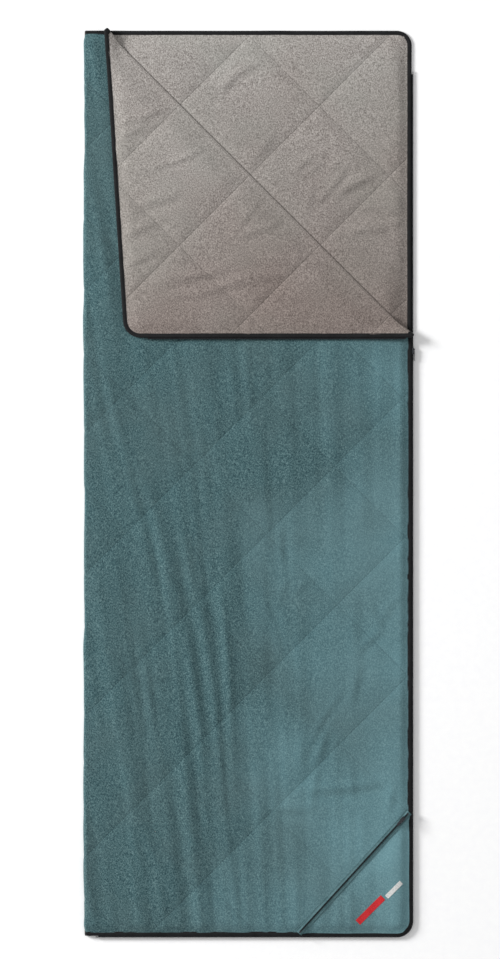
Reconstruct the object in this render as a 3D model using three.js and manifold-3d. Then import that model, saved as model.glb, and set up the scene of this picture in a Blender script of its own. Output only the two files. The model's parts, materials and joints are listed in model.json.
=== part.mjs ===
// A two-in-one quilted wool blanket that zips up into a blanket bag.
// It lies flat, folded lengthwise: back panel below, front cover on it, one long side fold
// on the left and a zip along the right side and the foot. The cover's head corner is a
// flap that turns back along a diagonal quilting seam.
// Millimetres. X runs across (zip side positive), Y towards the head, Z up from the floor.
import * as THREE from "three";
import { mergeVertices } from "three/addons/utils/BufferGeometryUtils.js";
import Module from "manifold-3d";

// Overall size, lying folded.
const LENGTH = 2000;
const FOLDED_WIDTH = 728;

// One quilted panel: outer shell, wool, lining, with a hair of air between them.
const FABRIC = 0.6;
const WOOL = 5.4;
const LAYER_GAP = 0.2;
const PANEL = 2 * FABRIC + WOOL + 2 * LAYER_GAP;
const LOFT_CENTRE = PANEL + LAYER_GAP;

// The layers where the binding grips them, pressed thin.
const BOUND_FABRIC = 0.5;
const BOUND_WOOL = 0.8;
const BOUND_START = 1.0;

// The binding that wraps every free edge, and the rim over which the loft builds up.
const BINDING_WIDTH = 8;
const BINDING_THICKNESS = 4.2;
const BINDING_WALL = 0.6;
const BINDING_CHAMFER = 1.1;
const GROOVE_START = 4.6;
const EDGE_INSET = 5;
const LIP_INSET = 8.5;
const RIM = 30;
const SEAM_RIM = 20;
const BINDING_GAP = 1.1;
const BOUND_CENTRE = BINDING_THICKNESS + BINDING_GAP / 2;
const CORNER_RADIUS = 32;
const FLAP_CORNER_RADIUS = 38;
const SEW_GAP = 0.3;

// The corner flap folds about the diagonal seam, on a line just above the cover.
const SEAM_Z = 2 * LOFT_CENTRE + LAYER_GAP;
const SEAM_WOOL = 0.6;
const DIAGONAL_SUM = 675; // x + y along the diagonal
const FLAP_CORNER_Y = 950;
const FLAP_LIFT = 3.4; // the closed flap's head edge rides up over the back panel's loft

// The separating zip, standing off the binding's outer face.
const TAPE = 0.5;
const TAPE_STAND_OFF = 1.9;
const COIL_DEPTH = 1.15;
const COIL_HEIGHT = 2.2;
const COIL_CHAMFER = 0.3;
const CHAIN_SLIT = 1.0;
const TAPE_REACH = 2.4;
const SEWN_GAP = 0.05;
const CHAIN_DEPTH = TAPE_STAND_OFF + TAPE + SEWN_GAP + COIL_DEPTH;
const STOP_LENGTH = 5;
const STOP_GAP = 1;
const CHAIN_TOP = 898;
const CHAIN_COVER_TOP = 305;
const CHAIN_FLAP_START = 331;
const CHAIN_FOOT_END = -332;
const TAPE_OVERRUN = 7;
const SPLIT_OVERRUN = 2; // where the chain is parted at the corner flap

// Sliders and pulls.
const SLIDER_LENGTH = 14;
const SLIDER_REST_Y = 289;
const SLIDER_INNER_HALF = 2.1;
const SLIDER_OUTER_HALF = 4.5;
const SLIDER_FLANGE = { reach: 1.2, thickness: 1.25 };
const PLATE = 1.2;
const RUN_GAP = 0.3;
const WEB_GAP = 0.2;
const LUG_REACH = 7.0;
const LUG_ROOT = 0.2; // how deep the lugs stand in the outer plate
const LUG_WALL = 1.1;
const LUG_HALF_LENGTH = 1.4;
const PIVOT_REACH = 6.1;
const PIVOT_SETBACK = 3; // from the slider's leading end
const PULL_BARREL = 0.75;
const PULL_THICKNESS = 1.0;
const PIN_RADIUS = 0.35;
const PIN_HOLE = 0.5;
const PIN_GRIP = 0.4; // how far the pin enters each lug
const PULL_LENGTH = 26;
const PULL_HALF_WIDTH = 3.2;
const PULL_NECK = 1.3;
const PULL_NECK_END = 4;
const PULL_SHOULDER = 7;
const ROUND_SEGMENTS = 16;

// The corner pocket on the cover's foot corner.
const POCKET_SIDE_Y = -718;
const POCKET_FOOT_X = 103;
const POCKET_HEM = 2;
const POCKET_CHAIN_START = 15;
const POCKET_CHAIN_RISE = 2.1;
const POCKET_TAPE = 0.4;
const POCKET_TAPE_LEG = 4.1;
const POCKET_TAPE_REACH = 10;
const POCKET_TAPE_OVERRUN = 4;
const POCKET_COIL_WIDTH = 1.7;
const POCKET_COIL_HEIGHT = 1.1;
const POCKET_STOP_LENGTH = 3;
const POCKET_STOP_GAP = 0.2;
const POCKET_SLIDER_START = 30;
const POCKET_SLIDER_LENGTH = 12;
const POCKET_SLIDER_INNER_HALF = 3.7;
const POCKET_SLIDER_OUTER_HALF = 4.2;
const POCKET_SLIDER_DEPTH = 1.15;
const POCKET_PULL_LENGTH = 20;
const SEWN_ON = 0.1;
const LABEL = { width: 132, height: 22, thickness: 0.5, x: 286, y: -922 };

const ARC_STEPS = 8;
const ROLL_STEPS = 10;

// Where the outline's lines lie.
const DIAGONAL_BULGE = (SEAM_Z - (2 * BOUND_CENTRE - BINDING_THICKNESS)) / Math.SQRT2;
const HEAD = LENGTH / 2 - DIAGONAL_BULGE;
const FOOT = -LENGTH / 2 + CHAIN_DEPTH;
const SIDE = FOLDED_WIDTH / 2 - LUG_REACH;
const FOLD = -FOLDED_WIDTH / 2 + LOFT_CENTRE;

const vec = (x, y) => new THREE.Vector2(x, y);
const HEAD_CORNER = vec(DIAGONAL_SUM - HEAD, HEAD);
const SIDE_CORNER = vec(SIDE, DIAGONAL_SUM - SIDE);
const SEAM_ALONG = vec(Math.SQRT1_2, -Math.SQRT1_2);
const SEAM_OUT = vec(Math.SQRT1_2, Math.SQRT1_2);

const wasm = await Module();
wasm.setup();

const cloth = (color) => new THREE.MeshStandardMaterial({ color, roughness: 0.95, metalness: 0 });
const MATERIALS = {
  shell: cloth(0x4f696e),
  lining: cloth(0x8e8884),
  wool: cloth(0xe6dfd0),
  binding: cloth(0x1d1e20),
  tape: cloth(0x17181a),
  coil: new THREE.MeshStandardMaterial({ color: 0x141517, roughness: 0.45, metalness: 0 }),
  metal: new THREE.MeshStandardMaterial({ color: 0x2a2c2f, roughness: 0.35, metalness: 0.8 }),
  label: cloth(0xc9c9c7),
};

// ---------------------------------------------------------------- closed solids

// A closed solid through a row of rings of equal length, with both end rings capped.
// `plan` gives the 2-D point that a cap's triangulation uses.
function ringSolid(rings, plan) {
  const points = [];
  const seen = new Map();
  const idOf = (p) => {
    const key = [p.x, p.y, p.z].map((v) => Math.round(v * 1e4)).join();
    if (!seen.has(key)) {
      seen.set(key, points.length);
      points.push(p);
    }
    return seen.get(key);
  };
  const ids = rings.map((ring) => ring.map(idOf));
  const faces = [];
  const addFace = (a, b, c) => {
    if (a !== b && b !== c && c !== a) faces.push(a, b, c);
  };
  for (let i = 0; i + 1 < ids.length; i += 1) {
    const [near, far] = [ids[i], ids[i + 1]];
    // Both faces of a layer split alike, so that stacked layers stay parallel.
    const lower = i + 1 <= ids.length / 2;
    near.forEach((id, j) => {
      const next = (j + 1) % near.length;
      if (lower) {
        addFace(id, near[next], far[j]);
        addFace(near[next], far[next], far[j]);
      } else {
        addFace(id, near[next], far[next]);
        addFace(id, far[next], far[j]);
      }
    });
  }
  const addCap = (ring, reversed) => {
    const loop = ring.filter((id, j) => id !== ring[(j + 1) % ring.length]);
    const flat = loop.map((id) => plan(points[id]));
    const turn = THREE.ShapeUtils.isClockWise(flat) ? -1 : 1;
    const order = turn > 0 ? loop : [...loop].reverse();
    const outline = turn > 0 ? flat : [...flat].reverse();
    THREE.ShapeUtils.triangulateShape(outline, []).forEach(([a, b, c]) => {
      const flip = (turn > 0) !== reversed;
      if (flip) addFace(order[a], order[b], order[c]);
      else addFace(order[a], order[c], order[b]);
    });
  };
  addCap(ids[0], true);
  addCap(ids[ids.length - 1], false);
  const geometry = new THREE.BufferGeometry();
  geometry.setAttribute("position", new THREE.Float32BufferAttribute(
    points.flatMap((p) => [p.x, p.y, p.z]), 3));
  geometry.setIndex(faces);
  return facedOut(geometry);
}

function signedVolume(geometry) {
  const position = geometry.getAttribute("position");
  const index = geometry.getIndex();
  const corner = [0, 1, 2].map(() => new THREE.Vector3());
  let volume = 0;
  for (let i = 0; i < index.count; i += 3) {
    corner.forEach((v, j) => v.fromBufferAttribute(position, index.getX(i + j)));
    volume += corner[0].dot(corner[1].cross(corner[2])) / 6;
  }
  return volume;
}

// The same solid with its faces pointing out.
function facedOut(geometry) {
  if (signedVolume(geometry) < 0) {
    const order = Array.from(geometry.getIndex().array);
    for (let i = 0; i < order.length; i += 3) {
      [order[i], order[i + 1]] = [order[i + 1], order[i]];
    }
    geometry.setIndex(order);
  }
  return geometry;
}

function toManifold(geometry) {
  const bare = new THREE.BufferGeometry();
  bare.setAttribute("position", geometry.getAttribute("position"));
  if (geometry.getIndex()) bare.setIndex(geometry.getIndex());
  const merged = mergeVertices(bare, 1e-4);
  return new wasm.Manifold(new wasm.Mesh({
    numProp: 3,
    vertProperties: new Float32Array(merged.getAttribute("position").array),
    triVerts: new Uint32Array(merged.getIndex().array),
  }));
}

function toGeometry(manifold) {
  const mesh = manifold.getMesh();
  const geometry = new THREE.BufferGeometry();
  geometry.setAttribute("position", new THREE.BufferAttribute(mesh.vertProperties, 3));
  geometry.setIndex(new THREE.BufferAttribute(mesh.triVerts, 1));
  return geometry;
}

function joined(...geometries) {
  return toGeometry(geometries.map(toManifold).reduce((all, one) => all.add(one)));
}

function addPart(group, name, material, geometry) {
  const mesh = new THREE.Mesh(geometry, MATERIALS[material]);
  mesh.name = name;
  group.add(mesh);
  return mesh;
}

// ---------------------------------------------------------------- outlines

// Where the line through p along d crosses the line through q along e.
function crossing(p, d, q, e) {
  const t = (q.clone().sub(p).cross(e)) / d.cross(e);
  return p.clone().addScaledVector(d, t);
}

// A panel outline, anticlockwise. Each corner starts one side: "bound", or open as
// "fold" (full loft up to the fold) or "seam" (pinched by the diagonal seam).
class Outline {
  constructor(corners) {
    this.sides = corners.map((corner, i) => {
      const next = corners[(i + 1) % corners.length];
      const along = next.at.clone().sub(corner.at).normalize();
      const inward = vec(-along.y, along.x);
      return { ...corner, along, inward };
    });
  }

  line(i, inset) {
    const side = this.sides[(i + this.sides.length) % this.sides.length];
    return { ...side, at: side.at.clone().addScaledVector(side.inward, inset) };
  }

  // The corner at the start of side i, with each side moved in by what `insetOf` says.
  corner(i, insetOf) {
    const before = this.line(i - 1, 0);
    const after = this.line(i, 0);
    const a = this.line(i - 1, insetOf(before.kind));
    const b = this.line(i, insetOf(after.kind));
    return crossing(a.at, a.along, b.at, b.along);
  }

  // Three matching rings: the gripped edge, the binding's lip and the start of full loft.
  rings(edgeInset) {
    const insets = {
      edge: (kind) => (kind === "bound" ? edgeInset : SEW_GAP),
      lip: (kind) => (kind === "bound" ? LIP_INSET : SEW_GAP),
      loft: (kind) => ({ bound: RIM, fold: SEW_GAP, seam: SEAM_RIM })[kind],
    };
    const rings = { edge: [], lip: [], loft: [] };
    const put = (name, at, level, lift = 0) => rings[name].push({ at, level, lift });
    this.sides.forEach((side, i) => {
      const before = this.line(i - 1, 0);
      if (before.kind === "bound" && side.kind === "bound") {
        this.roundCorner(i, insets, put);
        return;
      }
      const open = side.kind === "bound" ? this.line(i - 1, SEW_GAP) : this.line(i, SEW_GAP);
      const edge = this.corner(i, insets.edge);
      const lip = this.corner(i, insets.lip);
      const loft = this.corner(i, insets.loft);
      const reach = loft.clone().sub(open.at).dot(open.along);
      const runOut = open.at.clone().addScaledVector(open.along, reach);
      const openLevel = open.kind === "seam" ? "seam" : "loft";
      const row = [[edge, lip, "bound"], [lip, lip, "bound"], [runOut, runOut, openLevel]];
      if (side.kind === "bound") row.reverse();
      row.forEach(([edgePoint, lipPoint, level]) => {
        put("edge", edgePoint, level);
        put("lip", lipPoint, level);
        put("loft", loft, "loft");
      });
    });
    return rings;
  }

  roundCorner(i, insets, put) {
    const side = this.sides[i];
    const before = this.line(i - 1, 0);
    const from = Math.atan2(-before.inward.y, -before.inward.x);
    const bend = Math.acos(THREE.MathUtils.clamp(before.along.dot(side.along), -1, 1));
    ["edge", "lip", "loft"].forEach((name) => {
      const inset = insets[name]("bound");
      const radius = Math.max(side.radius - inset, 0);
      const centre = this.corner(i, () => inset + radius);
      for (let step = 0; step <= ARC_STEPS; step += 1) {
        const angle = from + (bend * step) / ARC_STEPS;
        const at = centre.clone().add(vec(Math.cos(angle), Math.sin(angle)).multiplyScalar(radius));
        const lift = ((side.lift || 0) * step) / ARC_STEPS;
        if (name === "loft") put(name, at, "loft");
        else put(name, at, "bound", lift);
      }
    });
  }

  // Stations for a strip along the bound sides first..last: arcs at the corners between
  // them, a square or mitred end at each end.
  stations(first, last, startTrim, endTrim) {
    const result = [];
    const start = this.line(first, 0);
    result.push(startTrim(start));
    for (let i = first + 1; i <= last; i += 1) {
      const flush = { edge: () => 0, lip: () => 0, loft: () => 0 };
      this.roundCorner(i, flush, (name, at, level, lift) => {
        if (name === "edge") result.push({ at, lift });
      });
      const arc = result.slice(-ARC_STEPS - 1);
      const radius = this.sides[i].radius;
      const centre = this.corner(i, () => radius);
      arc.forEach((station) => {
        station.inward = centre.clone().sub(station.at).normalize();
      });
    }
    result.push(endTrim(this.line(last, 0)));
    return result;
  }
}

// A strip's end square to its side, `distance` along the side from the side's start.
const squareEnd = (distance) => (side) => ({
  at: side.at.clone().addScaledVector(side.along, distance),
  inward: side.inward,
});

// A strip's end cut along the diagonal seam, a sewing gap short of it.
const seamEnd = (towards) => (side) => {
  const line = HEAD_CORNER.clone().addScaledVector(SEAM_OUT, towards * SEW_GAP);
  const at = crossing(side.at, side.along, line, SEAM_ALONG);
  const inward = SEAM_ALONG.clone().divideScalar(SEAM_ALONG.dot(side.inward));
  return { at, inward };
};

const BACK_OUTLINE = new Outline([
  { at: vec(FOLD, FOOT), kind: "bound" },
  { at: vec(SIDE, FOOT), kind: "bound", radius: CORNER_RADIUS },
  { at: vec(SIDE, HEAD), kind: "bound", radius: CORNER_RADIUS },
  { at: vec(FOLD, HEAD), kind: "fold" },
]);
const COVER_OUTLINE = new Outline([
  { at: vec(FOLD, FOOT), kind: "bound" },
  { at: vec(SIDE, FOOT), kind: "bound", radius: CORNER_RADIUS },
  { at: SIDE_CORNER, kind: "seam" },
  { at: HEAD_CORNER, kind: "bound" },
  { at: vec(FOLD, HEAD), kind: "fold" },
]);
const FLAP_OUTLINE = new Outline([
  { at: SIDE_CORNER, kind: "bound" },
  { at: vec(SIDE, FLAP_CORNER_Y), kind: "bound", radius: FLAP_CORNER_RADIUS, lift: FLAP_LIFT },
  { at: HEAD_CORNER, kind: "seam" },
]);
const POCKET_OUTLINE = new Outline([
  { at: vec(POCKET_FOOT_X, FOOT), kind: "bound" },
  { at: vec(SIDE, FOOT), kind: "bound", radius: CORNER_RADIUS },
  { at: vec(SIDE, POCKET_SIDE_Y), kind: "fold" },
]);

// ---------------------------------------------------------------- layers

// Bottom and top height of each layer in turn, from `start` up.
function stackUp(start, thicknesses) {
  let z = start;
  return thicknesses.map((thickness) => {
    const level = [z, z + thickness];
    z += thickness + LAYER_GAP;
    return level;
  });
}

const STACKS = {
  loft: stackUp(0, [FABRIC, WOOL, FABRIC]),
  bound: stackUp(BOUND_START, [BOUND_FABRIC, BOUND_WOOL, BOUND_FABRIC]),
  seam: stackUp(0, [FABRIC, SEAM_WOOL, FABRIC]),
};
const CENTRES = { loft: LOFT_CENTRE, bound: BOUND_CENTRE, seam: LOFT_CENTRE };
const LAYERS = ["shell", "wool", "lining"];

// A layer's heights in the back panel, or mirrored for the cover that faces it.
function layerLevels(layer, facing) {
  const row = LAYERS.indexOf(layer);
  return Object.fromEntries(Object.keys(STACKS).map((name) => {
    const [low, high] = STACKS[name][row];
    const centre = 2 * CENTRES[name];
    return [name, facing === "back" ? [low, high] : [centre - high, centre - low]];
  }));
}

function quiltLayer(outline, levels, edgeInset = EDGE_INSET) {
  const rings = outline.rings(edgeInset);
  const face = (name, end) => rings[name].map(({ at, level, lift }) =>
    new THREE.Vector3(at.x, at.y, levels[level][end] + lift));
  return ringSolid([
    face("loft", 0), face("lip", 0), face("edge", 0),
    face("edge", 1), face("lip", 1), face("loft", 1),
  ], (p) => vec(p.x, p.y));
}

// A constant section of (inward, height) points carried along stations.
function sweepSection(section, stations) {
  const rings = stations.map(({ at, inward, lift = 0 }) => section.map((point) =>
    new THREE.Vector3(
      at.x + inward.x * point.x, at.y + inward.y * point.x, point.y + lift)));
  return ringSolid(rings, sectionPlan(stations));
}

// Caps of a swept strip are triangulated in their own plane: along `inward`, and height.
const sectionPlan = (stations) => (p) => {
  const nearest = [stations[0], stations[stations.length - 1]].reduce((best, one) =>
    (one.at.distanceTo(vec(p.x, p.y)) < best.at.distanceTo(vec(p.x, p.y)) ? one : best));
  return vec(vec(p.x, p.y).sub(nearest.at).dot(nearest.inward), p.z);
};

const facingSection = (section, facing) =>
  section.map((p) => vec(p.x, facing === "back" ? p.y : 2 * BOUND_CENTRE - p.y));

const BINDING_SECTION = [
  vec(0, BINDING_CHAMFER),
  vec(BINDING_CHAMFER, 0),
  vec(BINDING_WIDTH, 0),
  vec(BINDING_WIDTH, BINDING_WALL),
  vec(GROOVE_START, BINDING_WALL),
  vec(GROOVE_START, BINDING_THICKNESS - BINDING_WALL),
  vec(BINDING_WIDTH, BINDING_THICKNESS - BINDING_WALL),
  vec(BINDING_WIDTH, BINDING_THICKNESS),
  vec(BINDING_CHAMFER, BINDING_THICKNESS),
  vec(0, BINDING_THICKNESS - BINDING_CHAMFER),
];

const CHAIN_EDGE = BOUND_CENTRE - CHAIN_SLIT / 2;
const TAPE_LOW = CHAIN_EDGE - TAPE_REACH;
const TAPE_SECTION = [
  vec(-SEWN_GAP, TAPE_LOW),
  vec(-TAPE_STAND_OFF - TAPE, TAPE_LOW),
  vec(-TAPE_STAND_OFF - TAPE, CHAIN_EDGE),
  vec(-TAPE_STAND_OFF, CHAIN_EDGE),
  vec(-TAPE_STAND_OFF, TAPE_LOW + TAPE),
  vec(-SEWN_GAP, TAPE_LOW + TAPE),
];
const COIL_SECTION = [
  vec(-CHAIN_DEPTH + COIL_DEPTH, CHAIN_EDGE - COIL_HEIGHT),
  vec(-CHAIN_DEPTH + COIL_DEPTH, CHAIN_EDGE),
  vec(-CHAIN_DEPTH + COIL_CHAMFER, CHAIN_EDGE),
  vec(-CHAIN_DEPTH, CHAIN_EDGE - COIL_CHAMFER),
  vec(-CHAIN_DEPTH, CHAIN_EDGE - COIL_HEIGHT + COIL_CHAMFER),
  vec(-CHAIN_DEPTH + COIL_CHAMFER, CHAIN_EDGE - COIL_HEIGHT),
];

// ---------------------------------------------------------------- folds

// A half-round strip along a fold; each station has its centre and its two radii.
function foldStrip(stations, outward) {
  const rings = stations.map(({ at, centreZ, outer, inner }) => {
    const arc = (radius, reversed) => Array.from({ length: ROLL_STEPS + 1 }, (_, i) => {
      const turn = (Math.PI * (reversed ? ROLL_STEPS - i : i)) / ROLL_STEPS;
      const reach = radius * Math.sin(turn);
      return new THREE.Vector3(
        at.x + outward.x * reach, at.y + outward.y * reach, centreZ - radius * Math.cos(turn));
    });
    return [...arc(outer, false), ...arc(inner, true)];
  });
  return ringSolid(rings, (p) => vec(p.x * outward.x + p.y * outward.y, p.z));
}

// A binding carried round a fold: its section turns half a circle about the fold line.
function foldedBinding(section, centre, alongStart, alongEnd, outward, centreZ) {
  const rings = Array.from({ length: ROLL_STEPS + 1 }, (_, i) => {
    const turn = (Math.PI * i) / ROLL_STEPS;
    const along = alongStart.clone().lerp(alongEnd, i / ROLL_STEPS);
    return section.map((point) => {
      const radius = centreZ - point.y;
      const reach = radius * Math.sin(turn);
      return new THREE.Vector3(
        centre.x + along.x * point.x + outward.x * reach,
        centre.y + along.y * point.x + outward.y * reach,
        centreZ - radius * Math.cos(turn));
    });
  });
  return ringSolid(rings, (p) => vec((p.x - centre.x) * alongStart.x
    + (p.y - centre.y) * alongStart.y, p.z));
}

function sideFoldStations(layer) {
  const levels = layerLevels(layer, "back");
  const station = (y, level) => ({
    at: vec(FOLD, y),
    centreZ: CENTRES[level],
    outer: CENTRES[level] - levels[level][0],
    inner: CENTRES[level] - levels[level][1],
  });
  return [
    station(FOOT + EDGE_INSET, "bound"), station(FOOT + LIP_INSET, "bound"),
    station(FOOT + RIM, "loft"), station(HEAD - RIM, "loft"),
    station(HEAD - LIP_INSET, "bound"), station(HEAD - EDGE_INSET, "bound"),
  ];
}

function cornerFoldStations(layer) {
  const levels = layerLevels(layer, "cover");
  const length = HEAD_CORNER.distanceTo(SIDE_CORNER);
  const station = (distance, level) => ({
    at: HEAD_CORNER.clone().addScaledVector(SEAM_ALONG, distance),
    centreZ: SEAM_Z,
    outer: SEAM_Z - levels[level][0],
    inner: SEAM_Z - levels[level][1],
  });
  const ends = [[EDGE_INSET, "bound"], [LIP_INSET, "bound"], [RIM + SEAM_RIM, "seam"]];
  const near = ends.map(([inset, level]) => station(inset * Math.SQRT2, level));
  const far = ends.map(([inset, level]) => station(length - inset * Math.SQRT2, level));
  return [...near, ...far.reverse()];
}

// ---------------------------------------------------------------- zip hardware

function box(x0, x1, y0, y1, z0, z1) {
  const geometry = new THREE.BoxGeometry(x1 - x0, y1 - y0, z1 - z0);
  geometry.translate((x0 + x1) / 2, (y0 + y1) / 2, (z0 + z1) / 2);
  return geometry;
}

// A slider in its own frame: it runs along Y, x is the height over the tape's sewn side
// and z goes across the chain. The web between its plates runs in the chain's slit.
function sliderBody(section, length, pivot) {
  const body = new THREE.ExtrudeGeometry(new THREE.Shape(section), {
    depth: length, bevelEnabled: false,
  });
  body.rotateX(Math.PI / 2);
  body.translate(0, length / 2, 0);
  const pivotY = length / 2 - PIVOT_SETBACK;
  const fork = PULL_NECK + RUN_GAP;
  const lugs = [-fork - LUG_WALL, fork].map((z) => box(pivot.plate - LUG_ROOT, pivot.top,
    pivotY - LUG_HALF_LENGTH, pivotY + LUG_HALF_LENGTH, z, z + LUG_WALL));
  const pin = new THREE.CylinderGeometry(
    PIN_RADIUS, PIN_RADIUS, 2 * (fork + PIN_GRIP), ROUND_SEGMENTS);
  pin.rotateX(Math.PI / 2);
  pin.translate(pivot.x, pivotY, 0);
  return joined(body, ...lugs, pin);
}

// A pull tab with its barrel on the pin at the origin, lying along -Y.
function pullTab(length) {
  const outline = new THREE.Shape();
  outline.moveTo(-PULL_NECK, 0);
  outline.lineTo(PULL_NECK, 0);
  outline.lineTo(PULL_NECK, PULL_NECK_END);
  outline.lineTo(PULL_HALF_WIDTH, PULL_SHOULDER);
  outline.lineTo(PULL_HALF_WIDTH, length - PULL_HALF_WIDTH);
  outline.absarc(0, length - PULL_HALF_WIDTH, PULL_HALF_WIDTH, 0, Math.PI);
  outline.lineTo(-PULL_HALF_WIDTH, PULL_SHOULDER);
  outline.lineTo(-PULL_NECK, PULL_NECK_END);
  const tab = new THREE.ExtrudeGeometry(outline, {
    depth: PULL_THICKNESS, bevelEnabled: false, curveSegments: ARC_STEPS,
  });
  tab.translate(0, 0, -PULL_THICKNESS / 2);
  tab.rotateZ(Math.PI);
  tab.rotateY(Math.PI / 2);
  const barrel = new THREE.CylinderGeometry(
    PULL_BARREL, PULL_BARREL, 2 * PULL_NECK, ROUND_SEGMENTS);
  barrel.rotateX(Math.PI / 2);
  const hole = new THREE.CylinderGeometry(PIN_HOLE, PIN_HOLE, 4 * PULL_NECK, ROUND_SEGMENTS);
  hole.rotateX(Math.PI / 2);
  return toGeometry(toManifold(tab).add(toManifold(barrel)).subtract(toManifold(hole)));
}

// The section of a slider that holds both tapes: an outer plate with flanges, a web in the
// slit, and an inner plate, listed round the outline from the middle of the chain.
function sliderSection({ inner, tapeIn, coilOut, halfInner, halfOuter, flange }) {
  const web = CHAIN_SLIT / 2 - WEB_GAP;
  const plateOut = coilOut + RUN_GAP + PLATE;
  const half = [
    vec(plateOut, halfOuter),
    vec(flange.reach, halfOuter),
    vec(flange.reach, halfOuter - flange.thickness),
    vec(coilOut + RUN_GAP, halfOuter - flange.thickness),
    vec(coilOut + RUN_GAP, web),
    vec(tapeIn - RUN_GAP, web),
    vec(tapeIn - RUN_GAP, halfInner),
    vec(inner, halfInner),
  ];
  const mirrored = half.map((p) => vec(p.x, -p.y)).reverse();
  return [...half, ...mirrored];
}

// ---------------------------------------------------------------- assembly

function addLayers(group, prefix, outline, facing) {
  const names = { shell: "outer_shell", wool: "wool_fill", lining: "lining" };
  LAYERS.forEach((layer) => {
    const levels = layerLevels(layer, facing);
    addPart(group, `${prefix}_${names[layer]}`, layer, quiltLayer(outline, levels));
  });
}

function addZipSide(group, prefix, outline, facing, sides, span) {
  const [first, last] = sides;
  const strip = (section, startTrim, endTrim) => sweepSection(
    facingSection(section, facing), outline.stations(first, last, startTrim, endTrim));
  const at = (side, point) => point.clone().sub(outline.sides[side].at)
    .dot(outline.sides[side].along);
  const start = at(first, span.start);
  const end = at(last, span.end);
  const { startOverrun = TAPE_OVERRUN, endOverrun = TAPE_OVERRUN } = span;
  addPart(group, `${prefix}_zip_tape`, "tape", strip(TAPE_SECTION,
    squareEnd(start - startOverrun), squareEnd(end + endOverrun)));
  addPart(group, `${prefix}_zip_coil`, "coil", strip(COIL_SECTION,
    squareEnd(start), squareEnd(end)));
}

function sideStop(y, facing) {
  const low = CHAIN_EDGE - COIL_HEIGHT;
  const mirror = (z) => 2 * BOUND_CENTRE - z;
  const [z0, z1] = facing === "back" ? [low, CHAIN_EDGE] : [mirror(CHAIN_EDGE), mirror(low)];
  const near = SIDE + CHAIN_DEPTH - COIL_DEPTH;
  return box(near, SIDE + CHAIN_DEPTH, y, y + STOP_LENGTH, z0, z1);
}

function buildBackPanel(group) {
  addLayers(group, "back", BACK_OUTLINE, "back");
  addPart(group, "back_edge_binding", "binding", sweepSection(BINDING_SECTION,
    BACK_OUTLINE.stations(0, 2, squareEnd(SEW_GAP),
      squareEnd(SIDE - FOLD - SEW_GAP))));
  addZipSide(group, "back", BACK_OUTLINE, "back", [0, 1],
    { start: vec(CHAIN_FOOT_END, FOOT), end: vec(SIDE, CHAIN_TOP) });
  addPart(group, "back_zip_top_stop", "metal", sideStop(CHAIN_TOP + STOP_GAP, "back"));
  const low = CHAIN_EDGE - COIL_HEIGHT;
  addPart(group, "zip_bottom_stop", "metal", box(
    CHAIN_FOOT_END - STOP_LENGTH - STOP_GAP, CHAIN_FOOT_END - STOP_GAP,
    FOOT - CHAIN_DEPTH, FOOT - CHAIN_DEPTH + COIL_DEPTH, low, 2 * BOUND_CENTRE - low));
  LAYERS.forEach((layer) => addPart(group, `side_fold_${layer}`, layer,
    foldStrip(sideFoldStations(layer), vec(-1, 0))));
  [["head", HEAD, -1], ["foot", FOOT, 1]].forEach(([name, y, inward]) => {
    const along = vec(0, inward);
    addPart(group, `${name}_fold_binding`, "binding", foldedBinding(
      BINDING_SECTION, vec(FOLD, y), along, along, vec(-1, 0), BOUND_CENTRE));
  });
}

function buildFrontCover(group) {
  addLayers(group, "front", COVER_OUTLINE, "cover");
  const section = facingSection(BINDING_SECTION, "cover");
  addPart(group, "front_edge_binding", "binding", sweepSection(section,
    COVER_OUTLINE.stations(0, 1, squareEnd(SEW_GAP), seamEnd(-1))));
  addPart(group, "front_head_binding", "binding", sweepSection(section,
    COVER_OUTLINE.stations(3, 3, seamEnd(-1), squareEnd(HEAD_CORNER.x - FOLD - SEW_GAP))));
  addZipSide(group, "front", COVER_OUTLINE, "cover", [0, 1],
    {
      start: vec(CHAIN_FOOT_END, FOOT),
      end: vec(SIDE, CHAIN_COVER_TOP),
      endOverrun: SPLIT_OVERRUN,
    });
  LAYERS.forEach((layer) => addPart(group, `corner_fold_${layer}`, layer,
    foldStrip(cornerFoldStations(layer), SEAM_OUT)));
  const squareMitre = SEAM_ALONG.clone().multiplyScalar(Math.SQRT2);
  const headSide = FLAP_OUTLINE.sides[1];
  const flapMitre = SEAM_ALONG.clone().divideScalar(SEAM_ALONG.dot(headSide.inward));
  addPart(group, "corner_fold_head_binding", "binding", foldedBinding(
    section, HEAD_CORNER, squareMitre, flapMitre, SEAM_OUT, SEAM_Z));
  const back = squareMitre.clone().negate();
  addPart(group, "corner_fold_side_binding", "binding", foldedBinding(
    section, SIDE_CORNER, back, back, SEAM_OUT, SEAM_Z));
}

// The flap is built closed, level with the cover, and laid back by half a turn about the
// diagonal fold line.
function buildCornerFlap(group) {
  const hinge = new THREE.Group();
  hinge.position.set(HEAD_CORNER.x, HEAD_CORNER.y, SEAM_Z);
  hinge.quaternion.setFromAxisAngle(
    new THREE.Vector3(SEAM_ALONG.x, SEAM_ALONG.y, 0), Math.PI);
  const flap = new THREE.Group();
  flap.position.set(-HEAD_CORNER.x, -HEAD_CORNER.y, -SEAM_Z);
  hinge.add(flap);
  group.add(hinge);
  addLayers(flap, "flap", FLAP_OUTLINE, "cover");
  addPart(flap, "flap_edge_binding", "binding", sweepSection(
    facingSection(BINDING_SECTION, "cover"),
    FLAP_OUTLINE.stations(0, 1, seamEnd(1), seamEnd(1))));
  addZipSide(flap, "flap", FLAP_OUTLINE, "cover", [0, 0],
    {
      start: vec(SIDE, CHAIN_FLAP_START),
      end: vec(SIDE, CHAIN_TOP),
      startOverrun: SPLIT_OVERRUN,
    });
  addPart(flap, "flap_zip_top_stop", "metal", sideStop(CHAIN_TOP + STOP_GAP, "cover"));
}

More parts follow.
